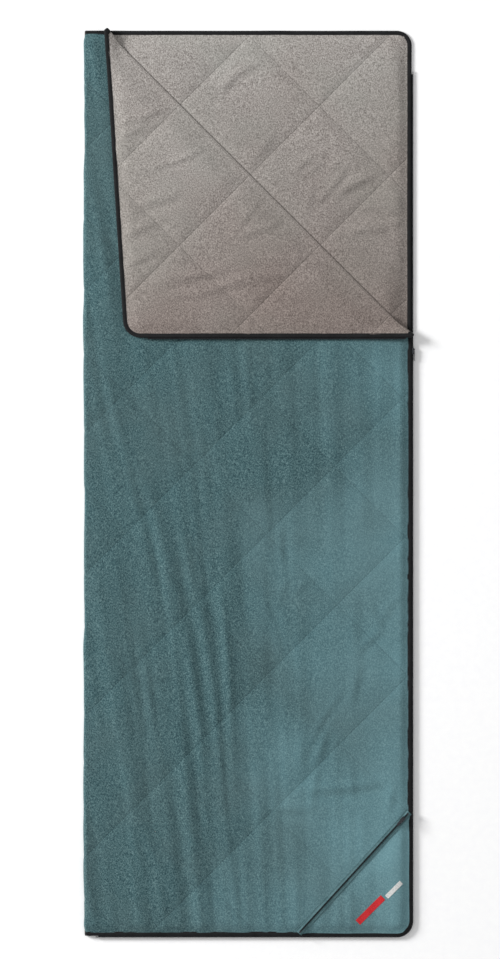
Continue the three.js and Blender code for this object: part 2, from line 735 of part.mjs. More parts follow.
function buildSideZip(group) {
  const section = sliderSection({
    inner: RUN_GAP,
    tapeIn: TAPE_STAND_OFF,
    coilOut: CHAIN_DEPTH,
    halfInner: SLIDER_INNER_HALF,
    halfOuter: SLIDER_OUTER_HALF,
    flange: SLIDER_FLANGE,
  });
  const plate = CHAIN_DEPTH + RUN_GAP + PLATE;
  const slider = addPart(group, "zip_slider_body", "metal", sliderBody(
    section.map((p) => vec(p.x, -p.y)), SLIDER_LENGTH,
    { plate, top: LUG_REACH, x: PIVOT_REACH }));
  slider.position.set(SIDE, SLIDER_REST_Y, BOUND_CENTRE);
  const pull = addPart(group, "zip_pull_tab", "metal", pullTab(PULL_LENGTH));
  const pivotY = SLIDER_REST_Y + SLIDER_LENGTH / 2 - PIVOT_SETBACK;
  pull.position.set(SIDE + PIVOT_REACH, pivotY, BOUND_CENTRE);
}

// Heights on the pocket, up from the cover's own top face.
const COVER_TOP = 2 * LOFT_CENTRE;
const POCKET_TOP = COVER_TOP + LAYER_GAP + FABRIC;
const POCKET_CHAIN_Z = COVER_TOP + POCKET_CHAIN_RISE;

// One tape of the pocket zip: a sewn leg on its fabric and a raised edge at the chain.
function pocketTape(base) {
  const leg = POCKET_TAPE_LEG;
  return [
    vec(CHAIN_SLIT / 2, POCKET_CHAIN_Z),
    vec(leg, POCKET_CHAIN_Z),
    vec(leg, base),
    vec(POCKET_TAPE_REACH, base),
    vec(POCKET_TAPE_REACH, base + POCKET_TAPE),
    vec(leg + POCKET_TAPE, base + POCKET_TAPE),
    vec(leg + POCKET_TAPE, POCKET_CHAIN_Z + POCKET_TAPE),
    vec(CHAIN_SLIT / 2, POCKET_CHAIN_Z + POCKET_TAPE),
  ];
}

function buildPocket(group) {
  const levelAt = (name) => {
    const top = layerLevels("shell", "cover")[name][1] + LAYER_GAP;
    return [top, top + FABRIC];
  };
  const levels = { loft: levelAt("loft"), bound: levelAt("bound") };
  const foot = vec(POCKET_FOOT_X, FOOT);
  const side = vec(SIDE, POCKET_SIDE_Y);
  const length = side.distanceTo(foot);
  const along = side.clone().sub(foot).normalize();
  const across = vec(along.y, -along.x);
  const hemmed = POCKET_OUTLINE.sides[2];
  hemmed.at.addScaledVector(across, POCKET_HEM);
  addPart(group, "corner_pocket_panel", "shell", quiltLayer(POCKET_OUTLINE, levels, LIP_INSET));

  const alongChain = (distance, sideways) => ({
    at: side.clone().addScaledVector(along, -distance),
    inward: across.clone().multiplyScalar(sideways),
  });
  const chain = (section, trim, sideways) => sweepSection(section, [
    alongChain(POCKET_CHAIN_START - trim, sideways),
    alongChain(length - POCKET_CHAIN_START + trim, sideways),
  ]);
  const coilBase = POCKET_CHAIN_Z + POCKET_TAPE + SEWN_GAP;
  const coil = [
    vec(CHAIN_SLIT / 2, coilBase),
    vec(CHAIN_SLIT / 2 + POCKET_COIL_WIDTH, coilBase),
    vec(CHAIN_SLIT / 2 + POCKET_COIL_WIDTH, coilBase + POCKET_COIL_HEIGHT),
    vec(CHAIN_SLIT / 2, coilBase + POCKET_COIL_HEIGHT),
  ];
  [["pocket", 1, POCKET_TOP + SEWN_ON], ["shell", -1, COVER_TOP + SEWN_ON]].forEach(
    ([name, sideways, base]) => {
      addPart(group, `pocket_zip_tape_${name}`, "tape",
        chain(pocketTape(base), POCKET_TAPE_OVERRUN, sideways));
      addPart(group, `pocket_zip_coil_${name}`, "coil", chain(coil, 0, sideways));
    });
  const half = CHAIN_SLIT / 2 + POCKET_COIL_WIDTH;
  const stop = [
    vec(-half, coilBase), vec(half, coilBase),
    vec(half, coilBase + POCKET_COIL_HEIGHT), vec(-half, coilBase + POCKET_COIL_HEIGHT),
  ];
  const upperStop = POCKET_CHAIN_START - POCKET_STOP_GAP - POCKET_STOP_LENGTH;
  const lowerStop = length - POCKET_CHAIN_START + POCKET_STOP_GAP;
  [["upper", upperStop], ["lower", lowerStop]].forEach(
    ([name, distance]) => addPart(group, `pocket_zip_${name}_stop`, "metal", sweepSection(
      stop, [alongChain(distance, 1), alongChain(distance + POCKET_STOP_LENGTH, 1)])));
  buildPocketSlider(group, side, along);
  buildLabel(group);
}

function buildPocketSlider(group, side, along) {
  const coilTop = POCKET_TAPE + SEWN_GAP + POCKET_COIL_HEIGHT;
  const section = sliderSection({
    inner: -POCKET_SLIDER_DEPTH,
    tapeIn: 0,
    coilOut: coilTop,
    halfInner: POCKET_SLIDER_INNER_HALF,
    halfOuter: POCKET_SLIDER_OUTER_HALF,
    flange: { reach: POCKET_TAPE + RUN_GAP, thickness: PLATE },
  });
  const plate = coilTop + RUN_GAP + PLATE;
  const pivotX = plate + PULL_BARREL + RUN_GAP;
  const centre = side.clone().addScaledVector(along, -POCKET_SLIDER_START);
  const heading = Math.atan2(along.y, along.x) - Math.PI / 2;
  // The slider's own x stands up from the fabric, and its own y runs along the pocket zip.
  const upright = new THREE.Quaternion().setFromEuler(new THREE.Euler(0, -Math.PI / 2, 0));
  const turned = new THREE.Quaternion().setFromAxisAngle(new THREE.Vector3(0, 0, 1), heading);
  const pose = turned.multiply(upright);
  const slider = addPart(group, "pocket_slider_body", "metal", sliderBody(
    section.map((p) => vec(p.x, -p.y)), POCKET_SLIDER_LENGTH,
    { plate, top: pivotX + PULL_BARREL, x: pivotX }));
  slider.position.set(centre.x, centre.y, POCKET_CHAIN_Z);
  slider.quaternion.copy(pose);
  const pivot = centre.clone().addScaledVector(
    along, POCKET_SLIDER_LENGTH / 2 - PIVOT_SETBACK);
  const pull = addPart(group, "pocket_pull_tab", "metal", pullTab(POCKET_PULL_LENGTH));
  pull.position.set(pivot.x, pivot.y, POCKET_CHAIN_Z + pivotX);
  pull.quaternion.copy(pose);
}

function buildLabel(group) {
  const w = LABEL.width / 2;
  const h = LABEL.height / 2;
  const shape = new THREE.Shape([vec(-w, -h), vec(w, -h), vec(w, h), vec(-w, h)]);
  const geometry = new THREE.ExtrudeGeometry(shape, {
    depth: LABEL.thickness, bevelEnabled: false,
  });
  const label = addPart(group, "woven_label", "label", geometry);
  label.position.set(LABEL.x, LABEL.y, POCKET_TOP + SEWN_ON);
  label.rotation.z = Math.PI / 4;
}

const group = new THREE.Group();
buildBackPanel(group);
buildFrontCover(group);
buildPocket(group);
buildCornerFlap(group);
buildSideZip(group);

export default group;
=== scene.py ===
"""Looks for the quilted two-in-one blanket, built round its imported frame.

Metres, +Z up, +X to the zip side, +Y to the head end. The blanket lies folded lengthwise:
back panel below, front cover above, and the cover's head corner turned back on itself.
"""
import json
import math

import bmesh
import bpy
import numpy as np
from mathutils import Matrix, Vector

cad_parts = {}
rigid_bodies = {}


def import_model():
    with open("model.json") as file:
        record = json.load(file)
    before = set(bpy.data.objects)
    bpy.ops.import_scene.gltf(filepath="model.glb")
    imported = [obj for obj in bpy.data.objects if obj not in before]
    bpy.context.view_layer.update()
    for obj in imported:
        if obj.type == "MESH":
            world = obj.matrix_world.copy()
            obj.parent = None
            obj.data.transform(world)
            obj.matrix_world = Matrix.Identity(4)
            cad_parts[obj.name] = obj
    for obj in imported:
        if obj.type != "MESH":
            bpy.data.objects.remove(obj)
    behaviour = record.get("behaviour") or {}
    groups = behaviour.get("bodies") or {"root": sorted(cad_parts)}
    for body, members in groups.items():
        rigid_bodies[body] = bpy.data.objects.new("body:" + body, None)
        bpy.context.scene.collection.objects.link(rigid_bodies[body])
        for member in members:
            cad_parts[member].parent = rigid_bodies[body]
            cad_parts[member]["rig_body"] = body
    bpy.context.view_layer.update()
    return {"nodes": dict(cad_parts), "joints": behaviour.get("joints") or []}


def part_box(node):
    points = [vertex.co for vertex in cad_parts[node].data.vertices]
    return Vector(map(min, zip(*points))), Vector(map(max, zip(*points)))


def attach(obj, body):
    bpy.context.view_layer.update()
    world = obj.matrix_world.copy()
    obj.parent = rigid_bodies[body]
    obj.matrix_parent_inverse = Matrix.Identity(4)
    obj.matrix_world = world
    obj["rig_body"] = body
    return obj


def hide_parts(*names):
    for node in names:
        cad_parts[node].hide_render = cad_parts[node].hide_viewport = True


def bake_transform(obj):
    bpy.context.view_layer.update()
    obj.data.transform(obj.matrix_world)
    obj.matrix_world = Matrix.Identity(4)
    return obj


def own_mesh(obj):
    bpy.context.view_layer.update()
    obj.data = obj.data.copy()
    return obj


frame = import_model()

MM = 0.001
ROOT2 = math.sqrt(2)

# ---- places from the frame

JOINTS = {joint["name"]: joint for joint in frame["joints"]}
FOLD_X, _, FOLD_Z = JOINTS["cover_hinge"]["pos_m"]
SEAM_AT = JOINTS["flap_hinge"]["pos_m"]
SEAM_Z = SEAM_AT[2]
DIAGONAL = SEAM_AT[0] + SEAM_AT[1]  # x + y on the diagonal fold
BINDING_LOW, BINDING_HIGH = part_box("back_edge_binding")
SIDE = BINDING_HIGH.x
HEAD = BINDING_HIGH.y
FOOT = BINDING_LOW.y
BINDING_TOP = BINDING_HIGH.z
COVER_BINDING_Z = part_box("front_edge_binding")[0].z
CHAIN_Z = (BINDING_TOP + COVER_BINDING_Z) / 2
BACK_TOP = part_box("back_lining")[1].z
COVER_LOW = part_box("side_fold_lining")[1].z
COVER_TOP = 2 * FOLD_Z
FLAP_LOW = 2 * SEAM_Z - COVER_TOP
FLAP_TOP = 2 * SEAM_Z - BACK_TOP - 0.4 * MM
HEAD_CORNER = Vector((SEAM_AT[0], SEAM_AT[1]))
SIDE_CORNER = Vector((SIDE, DIAGONAL - SIDE))
FLAP_CUT = 950 * MM  # where the closed flap's zip edge ends
# The turned-back flap's free corner: where its slanted side edge would meet its zip edge.
FLAP_CORNER = Vector((DIAGONAL - FLAP_CUT, DIAGONAL - SIDE))
SEAM_OUT = Vector((1, 1)).normalized()
SEAM_ALONG = Vector((1, -1)).normalized()

CORNER_RADIUS = 32 * MM
FLAP_RADIUS = 38 * MM
INSET = 4.5 * MM  # how far inside the binding's outer edge the layers end
CLOTH = 0.5 * MM
HINGE_LAP = 0.8 * MM  # the linings' height over the side fold's hinge with the cover open
LINING_BOUND = 3.0 * MM  # the back lining's height at its bound edges
LINING_LIP = 5 * MM  # the cover lining's reach past the side fold
WOOL_SHORT = 6 * MM  # how far inside the cloths the wool ends
GRID = 6 * MM  # spacing of the points of a surface that is seen
FLAP_GRID = 5.5 * MM
COARSE = 14 * MM  # the same for a hidden surface

# ---- small helpers


def mm(*values):
    return tuple(value * MM for value in values)


def smooth(value, low, high):
    """From 0 at low to 1 at high, level at both."""
    t = np.clip((value - low) / (high - low), 0, 1)
    return t * t * (3 - 2 * t)


def bell(value, width):
    return np.exp(-(value / width) ** 2)


def linked(name, data):
    """A new object of the scene."""
    obj = bpy.data.objects.new(name, data)
    bpy.context.scene.collection.objects.link(obj)
    return obj


def preset(node, values):
    """Sets a node's inputs by name."""
    for key, value in values.items():
        node.inputs[key].default_value = value


def wrapped(value, pitch):
    """Signed distance to the nearest multiple of pitch."""
    return (value + pitch / 2) % pitch - pitch / 2


LATTICE = 64


def value_noise(x, y, size, seed):
    """Smooth noise from -1 to 1, from a seeded lattice of the given cell size."""
    lattice = np.random.default_rng(seed).uniform(-1, 1, (LATTICE, LATTICE))
    u, v = x / size, y / size
    i, j = np.floor(u).astype(int), np.floor(v).astype(int)
    return between_four(lambda p, q: lattice[p % LATTICE, q % LATTICE], i, j,
                        smooth(u - i, 0, 1), smooth(v - j, 0, 1))


def between_four(at, i, j, a, b):
    """Between the lattice values round a point, which lies a and b into its cell."""
    low = at(i, j) * (1 - a) + at(i + 1, j) * a
    high = at(i, j + 1) * (1 - a) + at(i + 1, j + 1) * a
    return low * (1 - b) + high * b


# ---- quilting and wrinkles

# Diamond quilting: the lines x + y = first and x - y = second, and their pitches.
SHELL_QUILT = mm(224, 299, 152, 311)
LINING_QUILT = (DIAGONAL, *mm(308, -57, 308))
CREASE_WIDTH, VALLEY_WIDTH = mm(5, 26)


def seam_distances(x, y, quilt):
    first, first_pitch, second, second_pitch = quilt
    a = np.abs(wrapped(x + y - first, first_pitch)) / ROOT2
    b = np.abs(wrapped(x - y - second, second_pitch)) / ROOT2
    return a, b


def quilt_relief(x, y, quilt, crease, valley):
    """How far the stitching pulls the cloth in: 0 between seams, negative on them."""
    a, b = seam_distances(x, y, quilt)
    narrow = np.maximum(bell(a, CREASE_WIDTH), bell(b, CREASE_WIDTH))
    wide = np.maximum(bell(a, VALLEY_WIDTH), bell(b, VALLEY_WIDTH))
    return -crease * narrow - valley * wide


def wrinkle(x, y, start, end, bow, height, width):
    """A soft ridge with a shallow trough beside it, bowed between two points."""
    start = np.array(start)
    along = np.array(end) - start
    length = np.hypot(*along)
    along = along / length
    px, py = x - start[0], y - start[1]
    t = (px * along[0] + py * along[1]) / length
    inside = np.clip(t, 0, 1)
    side = px * -along[1] + py * along[0] - bow * 4 * inside * (1 - inside)
    fade = np.sin(np.pi * inside) ** 0.8 * ((t > 0) & (t < 1))
    trough = bell(side + 1.7 * width, 1.1 * width)
    return height * fade * (bell(side, width) - 0.75 * trough)


def combed_wrinkles(x, y):
    """Fine wrinkles that run down the cover, thick near the fold and thin by the zip."""
    lean = x + 0.16 * y * smooth(x, SIDE, FOLD_X)
    total = np.zeros_like(x)
    for (width, length, height), seed in ((mm(16, 230, 3.0), 16), (mm(31, 380, 4.2), 17)):
        strand = value_noise(lean / width, y / length, 1.0, seed)
        total += height * np.sign(strand) * np.abs(strand) ** 1.3
    share = 0.5 + 0.5 * smooth(x, 200 * MM, -80 * MM)
    patchy = 0.55 + 0.45 * value_noise(x, y, 260 * MM, 18)
    return total * share * patchy


FANS = 16


def fanned_wrinkles(x, y):
    """Long wrinkles that fan from the fold's head end towards the foot."""
    rng = np.random.default_rng(12)
    total = np.zeros_like(x)
    for share in np.linspace(0, 1, FANS):
        top = (FOLD_X + (30 + 270 * share + rng.uniform(-18, 18)) * MM,
               (260 - 520 * share ** 0.7 + rng.uniform(-70, 70)) * MM)
        reach = rng.uniform(380, 720) * MM
        lean = (0.10 + 0.22 * (1 - share)) * reach
        bottom = (top[0] + lean * 0.8, max(top[1] - reach, FOOT + 60 * MM))
        total += wrinkle(x, y, top, bottom, rng.uniform(-8, 22) * MM,
                         rng.uniform(1.5, 2.5) * MM, rng.uniform(9, 16) * MM)
    return total


def short_wrinkles(x, y, box, count, heading, seed, height):
    """Short seeded wrinkles in a box, about the given heading."""
    rng = np.random.default_rng(seed)
    total = np.zeros_like(x)
    (x0, y0), (x1, y1) = box
    for _ in range(count):
        centre = np.array([rng.uniform(x0, x1), rng.uniform(y0, y1)])
        turn = heading + rng.normal(0, 0.35)
        half = rng.uniform(35, 95) * MM * np.array([math.cos(turn), math.sin(turn)])
        total += wrinkle(x, y, centre - half, centre + half, rng.uniform(-14, 14) * MM,
                         rng.uniform(0.5, 1.0) * height, rng.uniform(6, 11) * MM)
    return total


def edge_puckers(along, inside, seed, reach=26 * MM, height=1.3 * MM):
    """Gathers where the binding's stitching draws the cloth in."""
    wave = value_noise(along, along * 0 + inside * 0.2, 13 * MM, seed)
    swell = 0.5 + 0.5 * value_noise(along, along * 0, 90 * MM, seed + 1)
    clear = smooth(inside, 7 * MM, 14 * MM)
    return height * wave * (0.35 + swell) * clear * bell(inside, reach)


# ---- cloth simulation

LAST_FRAME = 20


class Crumple:
    """Height field of a slack cloth, pinned on its quilting and its edges.

    The cloth is cut a little wider and longer than its frame, so it buckles into soft
    wrinkles as real cloth does over batting.
    """

    def __init__(self, name, low, high, step, quilt, slack, cap):
        self.low, self.step, self.cap = low, step, cap
        self.columns = int(round((high[0] - low[0]) / step)) + 1
        self.rows = int(round((high[1] - low[1]) / step)) + 1
        x, y = np.meshgrid(low[0] + step * np.arange(self.columns),
                           low[1] + step * np.arange(self.rows))
        self.field = np.zeros_like(x)
        self.simulate(name, x, y, quilt, slack)

    def simulate(self, name, x, y, quilt, slack):
        start = 0.5 * MM * value_noise(x, y, 45 * MM, 5)
        points = np.stack([x, y, start], -1).reshape(-1, 3)
        mesh = bpy.data.meshes.new(name)
        mesh.from_pydata(points.tolist(), [], grid_faces(*x.shape))
        obj = linked(name, mesh)
        obj.shape_key_add(name="Basis")
        rest = obj.shape_key_add(name="slack")
        wide = points * np.array([1 + slack[0], 1 + slack[1], 1])
        rest.data.foreach_set("co", wide.ravel())
        rest.value = 0
        a, b = seam_distances(x, y, quilt)
        border = np.zeros_like(x, bool)
        border[:1] = border[-1:] = border[:, :1] = border[:, -1:] = True
        held = (np.minimum(a, b) < 0.55 * self.step) | border
        obj.vertex_groups.new(name="held").add(np.flatnonzero(held).tolist(), 1.0, "REPLACE")
        cloth = obj.modifiers.new("cloth", "CLOTH")
        values = dict(quality=5, vertex_group_mass="held", rest_shape_key=rest, mass=0.2,
                      tension_stiffness=12, compression_stiffness=12, shear_stiffness=4,
                      bending_stiffness=0.35, use_pressure=True, uniform_pressure_force=0.4)
        for key, value in values.items():
            setattr(cloth.settings, key, value)
        cloth.settings.effector_weights.gravity = 0
        cloth.collision_settings.use_collision = False
        scene = bpy.context.scene
        for number in range(1, LAST_FRAME + 1):
            scene.frame_set(number)
        solved = obj.evaluated_get(bpy.context.evaluated_depsgraph_get()).to_mesh()
        height = vectors(solved.vertices, "co")[:, 2].reshape(x.shape)
        obj.to_mesh_clear()
        scene.frame_set(1)
        bpy.data.objects.remove(obj)
        bpy.data.meshes.remove(mesh)
        height = blurred(height, 1)
        ripples = height - blurred(height, 14)
        self.field = self.cap * np.tanh(ripples / self.cap)

    def __call__(self, x, y):
        u = np.clip((x - self.low[0]) / self.step, 0, self.columns - 1.001)
        v = np.clip((y - self.low[1]) / self.step, 0, self.rows - 1.001)
        i, j = u.astype(int), v.astype(int)
        return between_four(lambda p, q: self.field[q, p], i, j, u - i, v - j)


def blurred(field, times):
    """The field averaged with its neighbours, over and over."""
    for _ in range(times):
        for axis in (0, 1):
            padded = np.pad(field, [(1, 1) if k == axis else (0, 0) for k in (0, 1)], "edge")
            a = padded.take(range(0, field.shape[axis]), axis)
            b = padded.take(range(2, field.shape[axis] + 2), axis)
            field = 0.5 * field + 0.25 * (a + b)
    return field


def vectors(items, name):
    """A vector property of every item, as rows."""
    values = np.zeros(len(items) * 3)
    items.foreach_get(name, values)
    return values.reshape(-1, 3)


def grid_faces(rows, columns):
    return [(r * columns + c, r * columns + c + 1,
             (r + 1) * columns + c + 1, (r + 1) * columns + c)
            for r in range(rows - 1) for c in range(columns - 1)]


SHELL_CRUMPLE = Crumple("shell_cloth_sim", (FOLD_X, FOOT), (SIDE, DIAGONAL - SIDE), 11 * MM,
                        SHELL_QUILT, (0.030, 0.004), 3.2 * MM)
LINING_CRUMPLE = Crumple("lining_cloth_sim", (SEAM_AT[0], SIDE_CORNER.y), (SIDE, HEAD),
                         9 * MM, LINING_QUILT, (0.014, 0.020), 3.0 * MM)

# ---- outlines and heights


def round_corner(x, y, corner, signs, radius):
    """Moves points of a square corner onto a quarter disc, rings staying rings."""
    cx, cy = corner[0] - signs[0] * radius, corner[1] - signs[1] * radius
    a, b = (x - cx) * signs[0], (y - cy) * signs[1]
    inside = (a > 0) & (b > 0)
    length = np.hypot(a, b)
    scale = np.where(inside, np.maximum(a, b) / np.maximum(length, 1e-9), 1.0)
    return cx + (x - cx) * scale, cy + (y - cy) * scale


def panel_rounded(x, y, inset=INSET):
    for sign, at in ((1, HEAD - inset), (-1, FOOT + inset)):
        x, y = round_corner(x, y, (SIDE - inset, at), (1, sign), CORNER_RADIUS - inset)
    return x, y


def from_bound_edges(x, y):
    """Distance inside the panel's bound outline: the head, the zip side and the foot."""
    flat = np.minimum(np.minimum(SIDE - x, HEAD - y), y - FOOT)
    for sign, at in ((1, HEAD), (-1, FOOT)):
        a = x - (SIDE - CORNER_RADIUS)
        b = (y - (at - sign * CORNER_RADIUS)) * sign
        corner = (a > 0) & (b > 0)
        flat = np.where(corner, CORNER_RADIUS - np.hypot(a, b), flat)
    return flat


def loft(inside, start=6 * MM, full=34 * MM):
    return smooth(inside, start, full)


def under_flap(x, y):
    """1 where the turned-back flap lies on the cover, 0 well clear of it."""
    clear = 22 * MM
    above = smooth(y, SIDE_CORNER.y - clear, SIDE_CORNER.y)
    slant = (HEAD_CORNER.x - FLAP_CORNER.x) / (HEAD_CORNER.y - FLAP_CORNER.y)
    edge = FLAP_CORNER.x + (y - FLAP_CORNER.y) * slant
    return above * smooth(x, edge - clear, edge)


def cover_shell_z(x, y):
    full = loft(from_bound_edges(x, y), 5 * MM, 26 * MM)
    relief = quilt_relief(x, y, SHELL_QUILT, 0.9 * MM, 0.7 * MM) + 0.5 * MM
    relief += fanned_wrinkles(x, y) + combed_wrinkles(x, y)
    relief += SHELL_CRUMPLE(x, y)
    relief += short_wrinkles(x, y, (mm(40, -700), mm(330, -120)), 16, 1.35, 21, 1.5 * MM)
    # Two long creases above the pocket.
    relief += wrinkle(x, y, mm(105, -671), mm(312, -653), *mm(-7, 2.8, 11))
    relief += wrinkle(x, y, mm(40, -716), mm(150, -724), *mm(5, 2.2, 9))
    relief += short_wrinkles(x, y, ((FOLD_X, -980 * MM), mm(0, -560)), 10, -1.0, 23, 1.3 * MM)
    relief += 0.9 * MM * value_noise(x, y, 120 * MM, 3)
    relief = np.clip(relief, -3.6 * MM, 4.2 * MM)
    flap = under_flap(x, y)
    relief = relief * (1 - flap) + np.minimum(relief, 0) * flap - 0.5 * MM * flap
    relief = relief * smooth(-seam_side(x, y), 0, 30 * MM)
    relief = relief * (1 - 0.85 * bell(from_chain(x, y), 14 * MM))
    bound = COVER_BINDING_Z + 3.3 * MM
    gathers = edge_puckers(y, SIDE - x, 31) + edge_puckers(x, y - FOOT, 32)
    return bound + (COVER_TOP - bound) * full + relief * full + gathers * (1 - flap)


def back_shell_z(x, y):
    full = loft(from_bound_edges(x, y))
    pulled = -quilt_relief(x, y, SHELL_QUILT, 0.8 * MM, 0.8 * MM)
    return 1.1 * MM * (1 - full) + pulled * full


def seam_side(x, y):
    """Distance from the diagonal fold; positive on the open head-corner side."""
    return (x + y - DIAGONAL) / ROOT2


def back_lining_z(x, y):
    inside = from_bound_edges(x, y)
    full = loft(inside)
    beyond = seam_side(x, y)
    open_side = smooth(beyond, 4 * MM, 80 * MM)
    relief = quilt_relief(x, y, LINING_QUILT, 1.5 * MM, 1.5 * MM) + 1.6 * MM
    relief += LINING_CRUMPLE(x, y) + taupe_wrinkles(x, y)
    relief = np.clip(relief, -3.0 * MM, 4.0 * MM)
    # The turned-back flap's roll holds the lining beside the diagonal up.
    ridge = 8.9 * MM * bell(np.maximum(beyond, 0), 75 * MM)
    ridge = ridge * smooth(beyond, -14 * MM, 1.5 * MM) * smooth(inside, 12 * MM, 60 * MM)
    hidden = quilt_relief(x, y, LINING_QUILT, 1.3 * MM, 1.3 * MM)
    gathers = edge_puckers(y, SIDE - x, 41) + edge_puckers(x, HEAD - y, 42)
    relief = relief * open_side + hidden * (1 - open_side)
    z = LINING_BOUND + (BACK_TOP - LINING_BOUND) * full
    return to_hinge(x, z + relief * full + ridge + gathers * open_side, HINGE_LAP)


def to_hinge(x, z, lap):
    """Both linings meet in a crease on the side fold's hinge line, lapped over its shell."""
    near = 1 - smooth(x, FOLD_X, FOLD_X + 9 * MM)
    return z + (FOLD_Z + lap - z) * near


def taupe_wrinkles(x, y):
    low = SIDE_CORNER.y
    field = short_wrinkles(x, y, ((FLAP_CORNER.x, low + 0.1), (SIDE, HEAD - 0.1)), 28, 0.12,
                           51, 2.9 * MM)
    field += short_wrinkles(x, y, ((0.0, low + 0.2), (0.2, HEAD - 0.15)), 6, 0.7, 52, 2.2 * MM)
    return field + 0.8 * MM * value_noise(x, y, 90 * MM, 53)


def cover_lining_z(x, y):
    full = loft(from_bound_edges(x, y))
    pinch = 1 - smooth(-seam_side(x, y), 0, 20 * MM)
    bound = COVER_BINDING_Z + 1.2 * MM
    pulled = -quilt_relief(x, y, LINING_QUILT, 1.3 * MM, 1.3 * MM) * (1 - pinch)
    z = bound + (COVER_LOW - bound) * full + pulled * full
    return to_hinge(x, z + (SEAM_Z - 2.3 * MM - COVER_LOW) * pinch * full, -HINGE_LAP)


def from_flap_edges(x, y):
    """Distance inside the turned-back flap's two bound edges."""
    slanted = slanted_distance(x, y)
    low = y - FLAP_CORNER.y
    flat = np.minimum(slanted, low)
    a, b = FLAP_RADIUS - slanted, FLAP_RADIUS - low
    return np.where((a > 0) & (b > 0), FLAP_RADIUS - np.hypot(a, b), flat)


def slanted_distance(x, y):
    """Distance inside the flap's slanted edge."""
    run = HEAD_CORNER - FLAP_CORNER
    inward = Vector((run.y, -run.x)).normalized()
    return (x - FLAP_CORNER.x) * inward.x + (y - FLAP_CORNER.y) * inward.y


def flap_edge_z(x, y):
    """Height of the flap binding's underside along its edges."""
    near_seam = 1 - smooth(-seam_side(x, y), 8 * MM, 80 * MM)
    return FLAP_LOW + 0.9 * MM + 3.9 * MM * near_seam


def flap_shell_z(x, y):
    full = loft(from_flap_edges(x, y))
    pulled = -quilt_relief(x, y, LINING_QUILT, 0.8 * MM, 0.8 * MM)
    pulled = pulled * smooth(-seam_side(x, y), 20 * MM, 90 * MM)
    bound = flap_edge_z(x, y) + 1.0 * MM
    return bound + (FLAP_LOW + pulled - bound) * full


def flap_lining_z(x, y):
    full = loft(from_flap_edges(x, y))
    pinch = 1 - smooth(-seam_side(x, y), 0, 60 * MM)
    relief = quilt_relief(x, y, LINING_QUILT, 1.6 * MM, 1.7 * MM) + 1.2 * MM
    relief += LINING_CRUMPLE(x, y) + taupe_wrinkles(x, y)
    relief = np.clip(relief, -3.2 * MM, 3.2 * MM) * (1 - pinch)
    top = FLAP_TOP + (SEAM_Z + 1.8 * MM - FLAP_TOP) * pinch
    bound = flap_edge_z(x, y) + 3.3 * MM
    gathers = edge_puckers(y, slanted_distance(x, y), 61)
    gathers += edge_puckers(x - FLAP_CORNER.x, y - FLAP_CORNER.y, 62)
    return bound + (top - bound) * full + relief * full + gathers * (1 - pinch)


# ---- meshes


def new_object(name, vertices, faces):
    mesh = bpy.data.meshes.new(name)
    mesh.from_pydata(np.asarray(vertices).tolist(), [], faces)
    mesh.validate()
    mesh.shade_smooth()
    mesh.set_sharp_from_angle(angle=math.radians(50))
    return linked(name, mesh)


def cut_grid(xs, ys, cuts):
    """A flat grid of quads, cut along lines: each cut is a point and an outward normal."""
    x, y = np.meshgrid(xs, ys)
    points = np.stack([x, y, np.zeros_like(x)], -1).reshape(-1, 3)
    bm = bmesh.new()
    verts = [bm.verts.new(p) for p in points]
    for face in grid_faces(len(ys), len(xs)):
        bm.faces.new([verts[i] for i in face])
    for point, normal in cuts:
        geom = bm.verts[:] + bm.edges[:] + bm.faces[:]
        bmesh.ops.bisect_plane(bm, geom=geom, plane_co=(*point, 0), plane_no=(*normal, 0),
                               clear_outer=True, dist=0.4 * MM)
    bmesh.ops.remove_doubles(bm, verts=bm.verts[:], dist=0.2 * MM)
    bm.verts.index_update()
    flat = np.array([v.co[:2] for v in bm.verts])
    faces = [tuple(v.index for v in f.verts) for f in bm.faces]
    bm.free()
    return flat, faces


def boundary_edges(faces):
    uses = {}
    for face in faces:
        for a, b in zip(face, face[1:] + face[:1]):
            uses[(a, b)] = True
    return [(a, b) for a, b in uses if (b, a) not in uses]


def closed_between(name, outer, inner, faces):
    """One closed piece from two matching surfaces; `outer` keeps the faces' winding."""
    count = len(outer)
    shell = list(faces)
    shell += [tuple(i + count for i in reversed(face)) for face in faces]
    shell += [(b, a, a + count, b + count) for a, b in boundary_edges(faces)]
    return new_object(name, np.concatenate([outer, inner]), shell)


def surface_normals(points, faces):
    mesh = bpy.data.meshes.new("normals")
    mesh.from_pydata(points.tolist(), [], faces)
    normals = vectors(mesh.vertices, "normal")
    bpy.data.meshes.remove(mesh)
    return normals


def cloth_sheet(name, points, faces, thickness=CLOTH):
    normals = surface_normals(points, faces)
    return closed_between(name, points, points - normals * thickness, faces)


def spaced(low, high, step):
    return np.linspace(low, high, max(int(round((high - low) / step)), 1) + 1)


# ---- materials


class Value:
    """A socket of a node tree that can be added, subtracted and multiplied."""

    def __init__(self, nodes, socket):
        self.nodes, self.socket = nodes, socket

    def __add__(self, other):
        return self.nodes.math("ADD", self, other)

    def __sub__(self, other):
        return self.nodes.math("SUBTRACT", self, other)

    def __mul__(self, other):
        return self.nodes.math("MULTIPLY", self, other)

    def clamped(self, low, high):
        return self.nodes.math("MINIMUM", high, self.nodes.math("MAXIMUM", low, self))


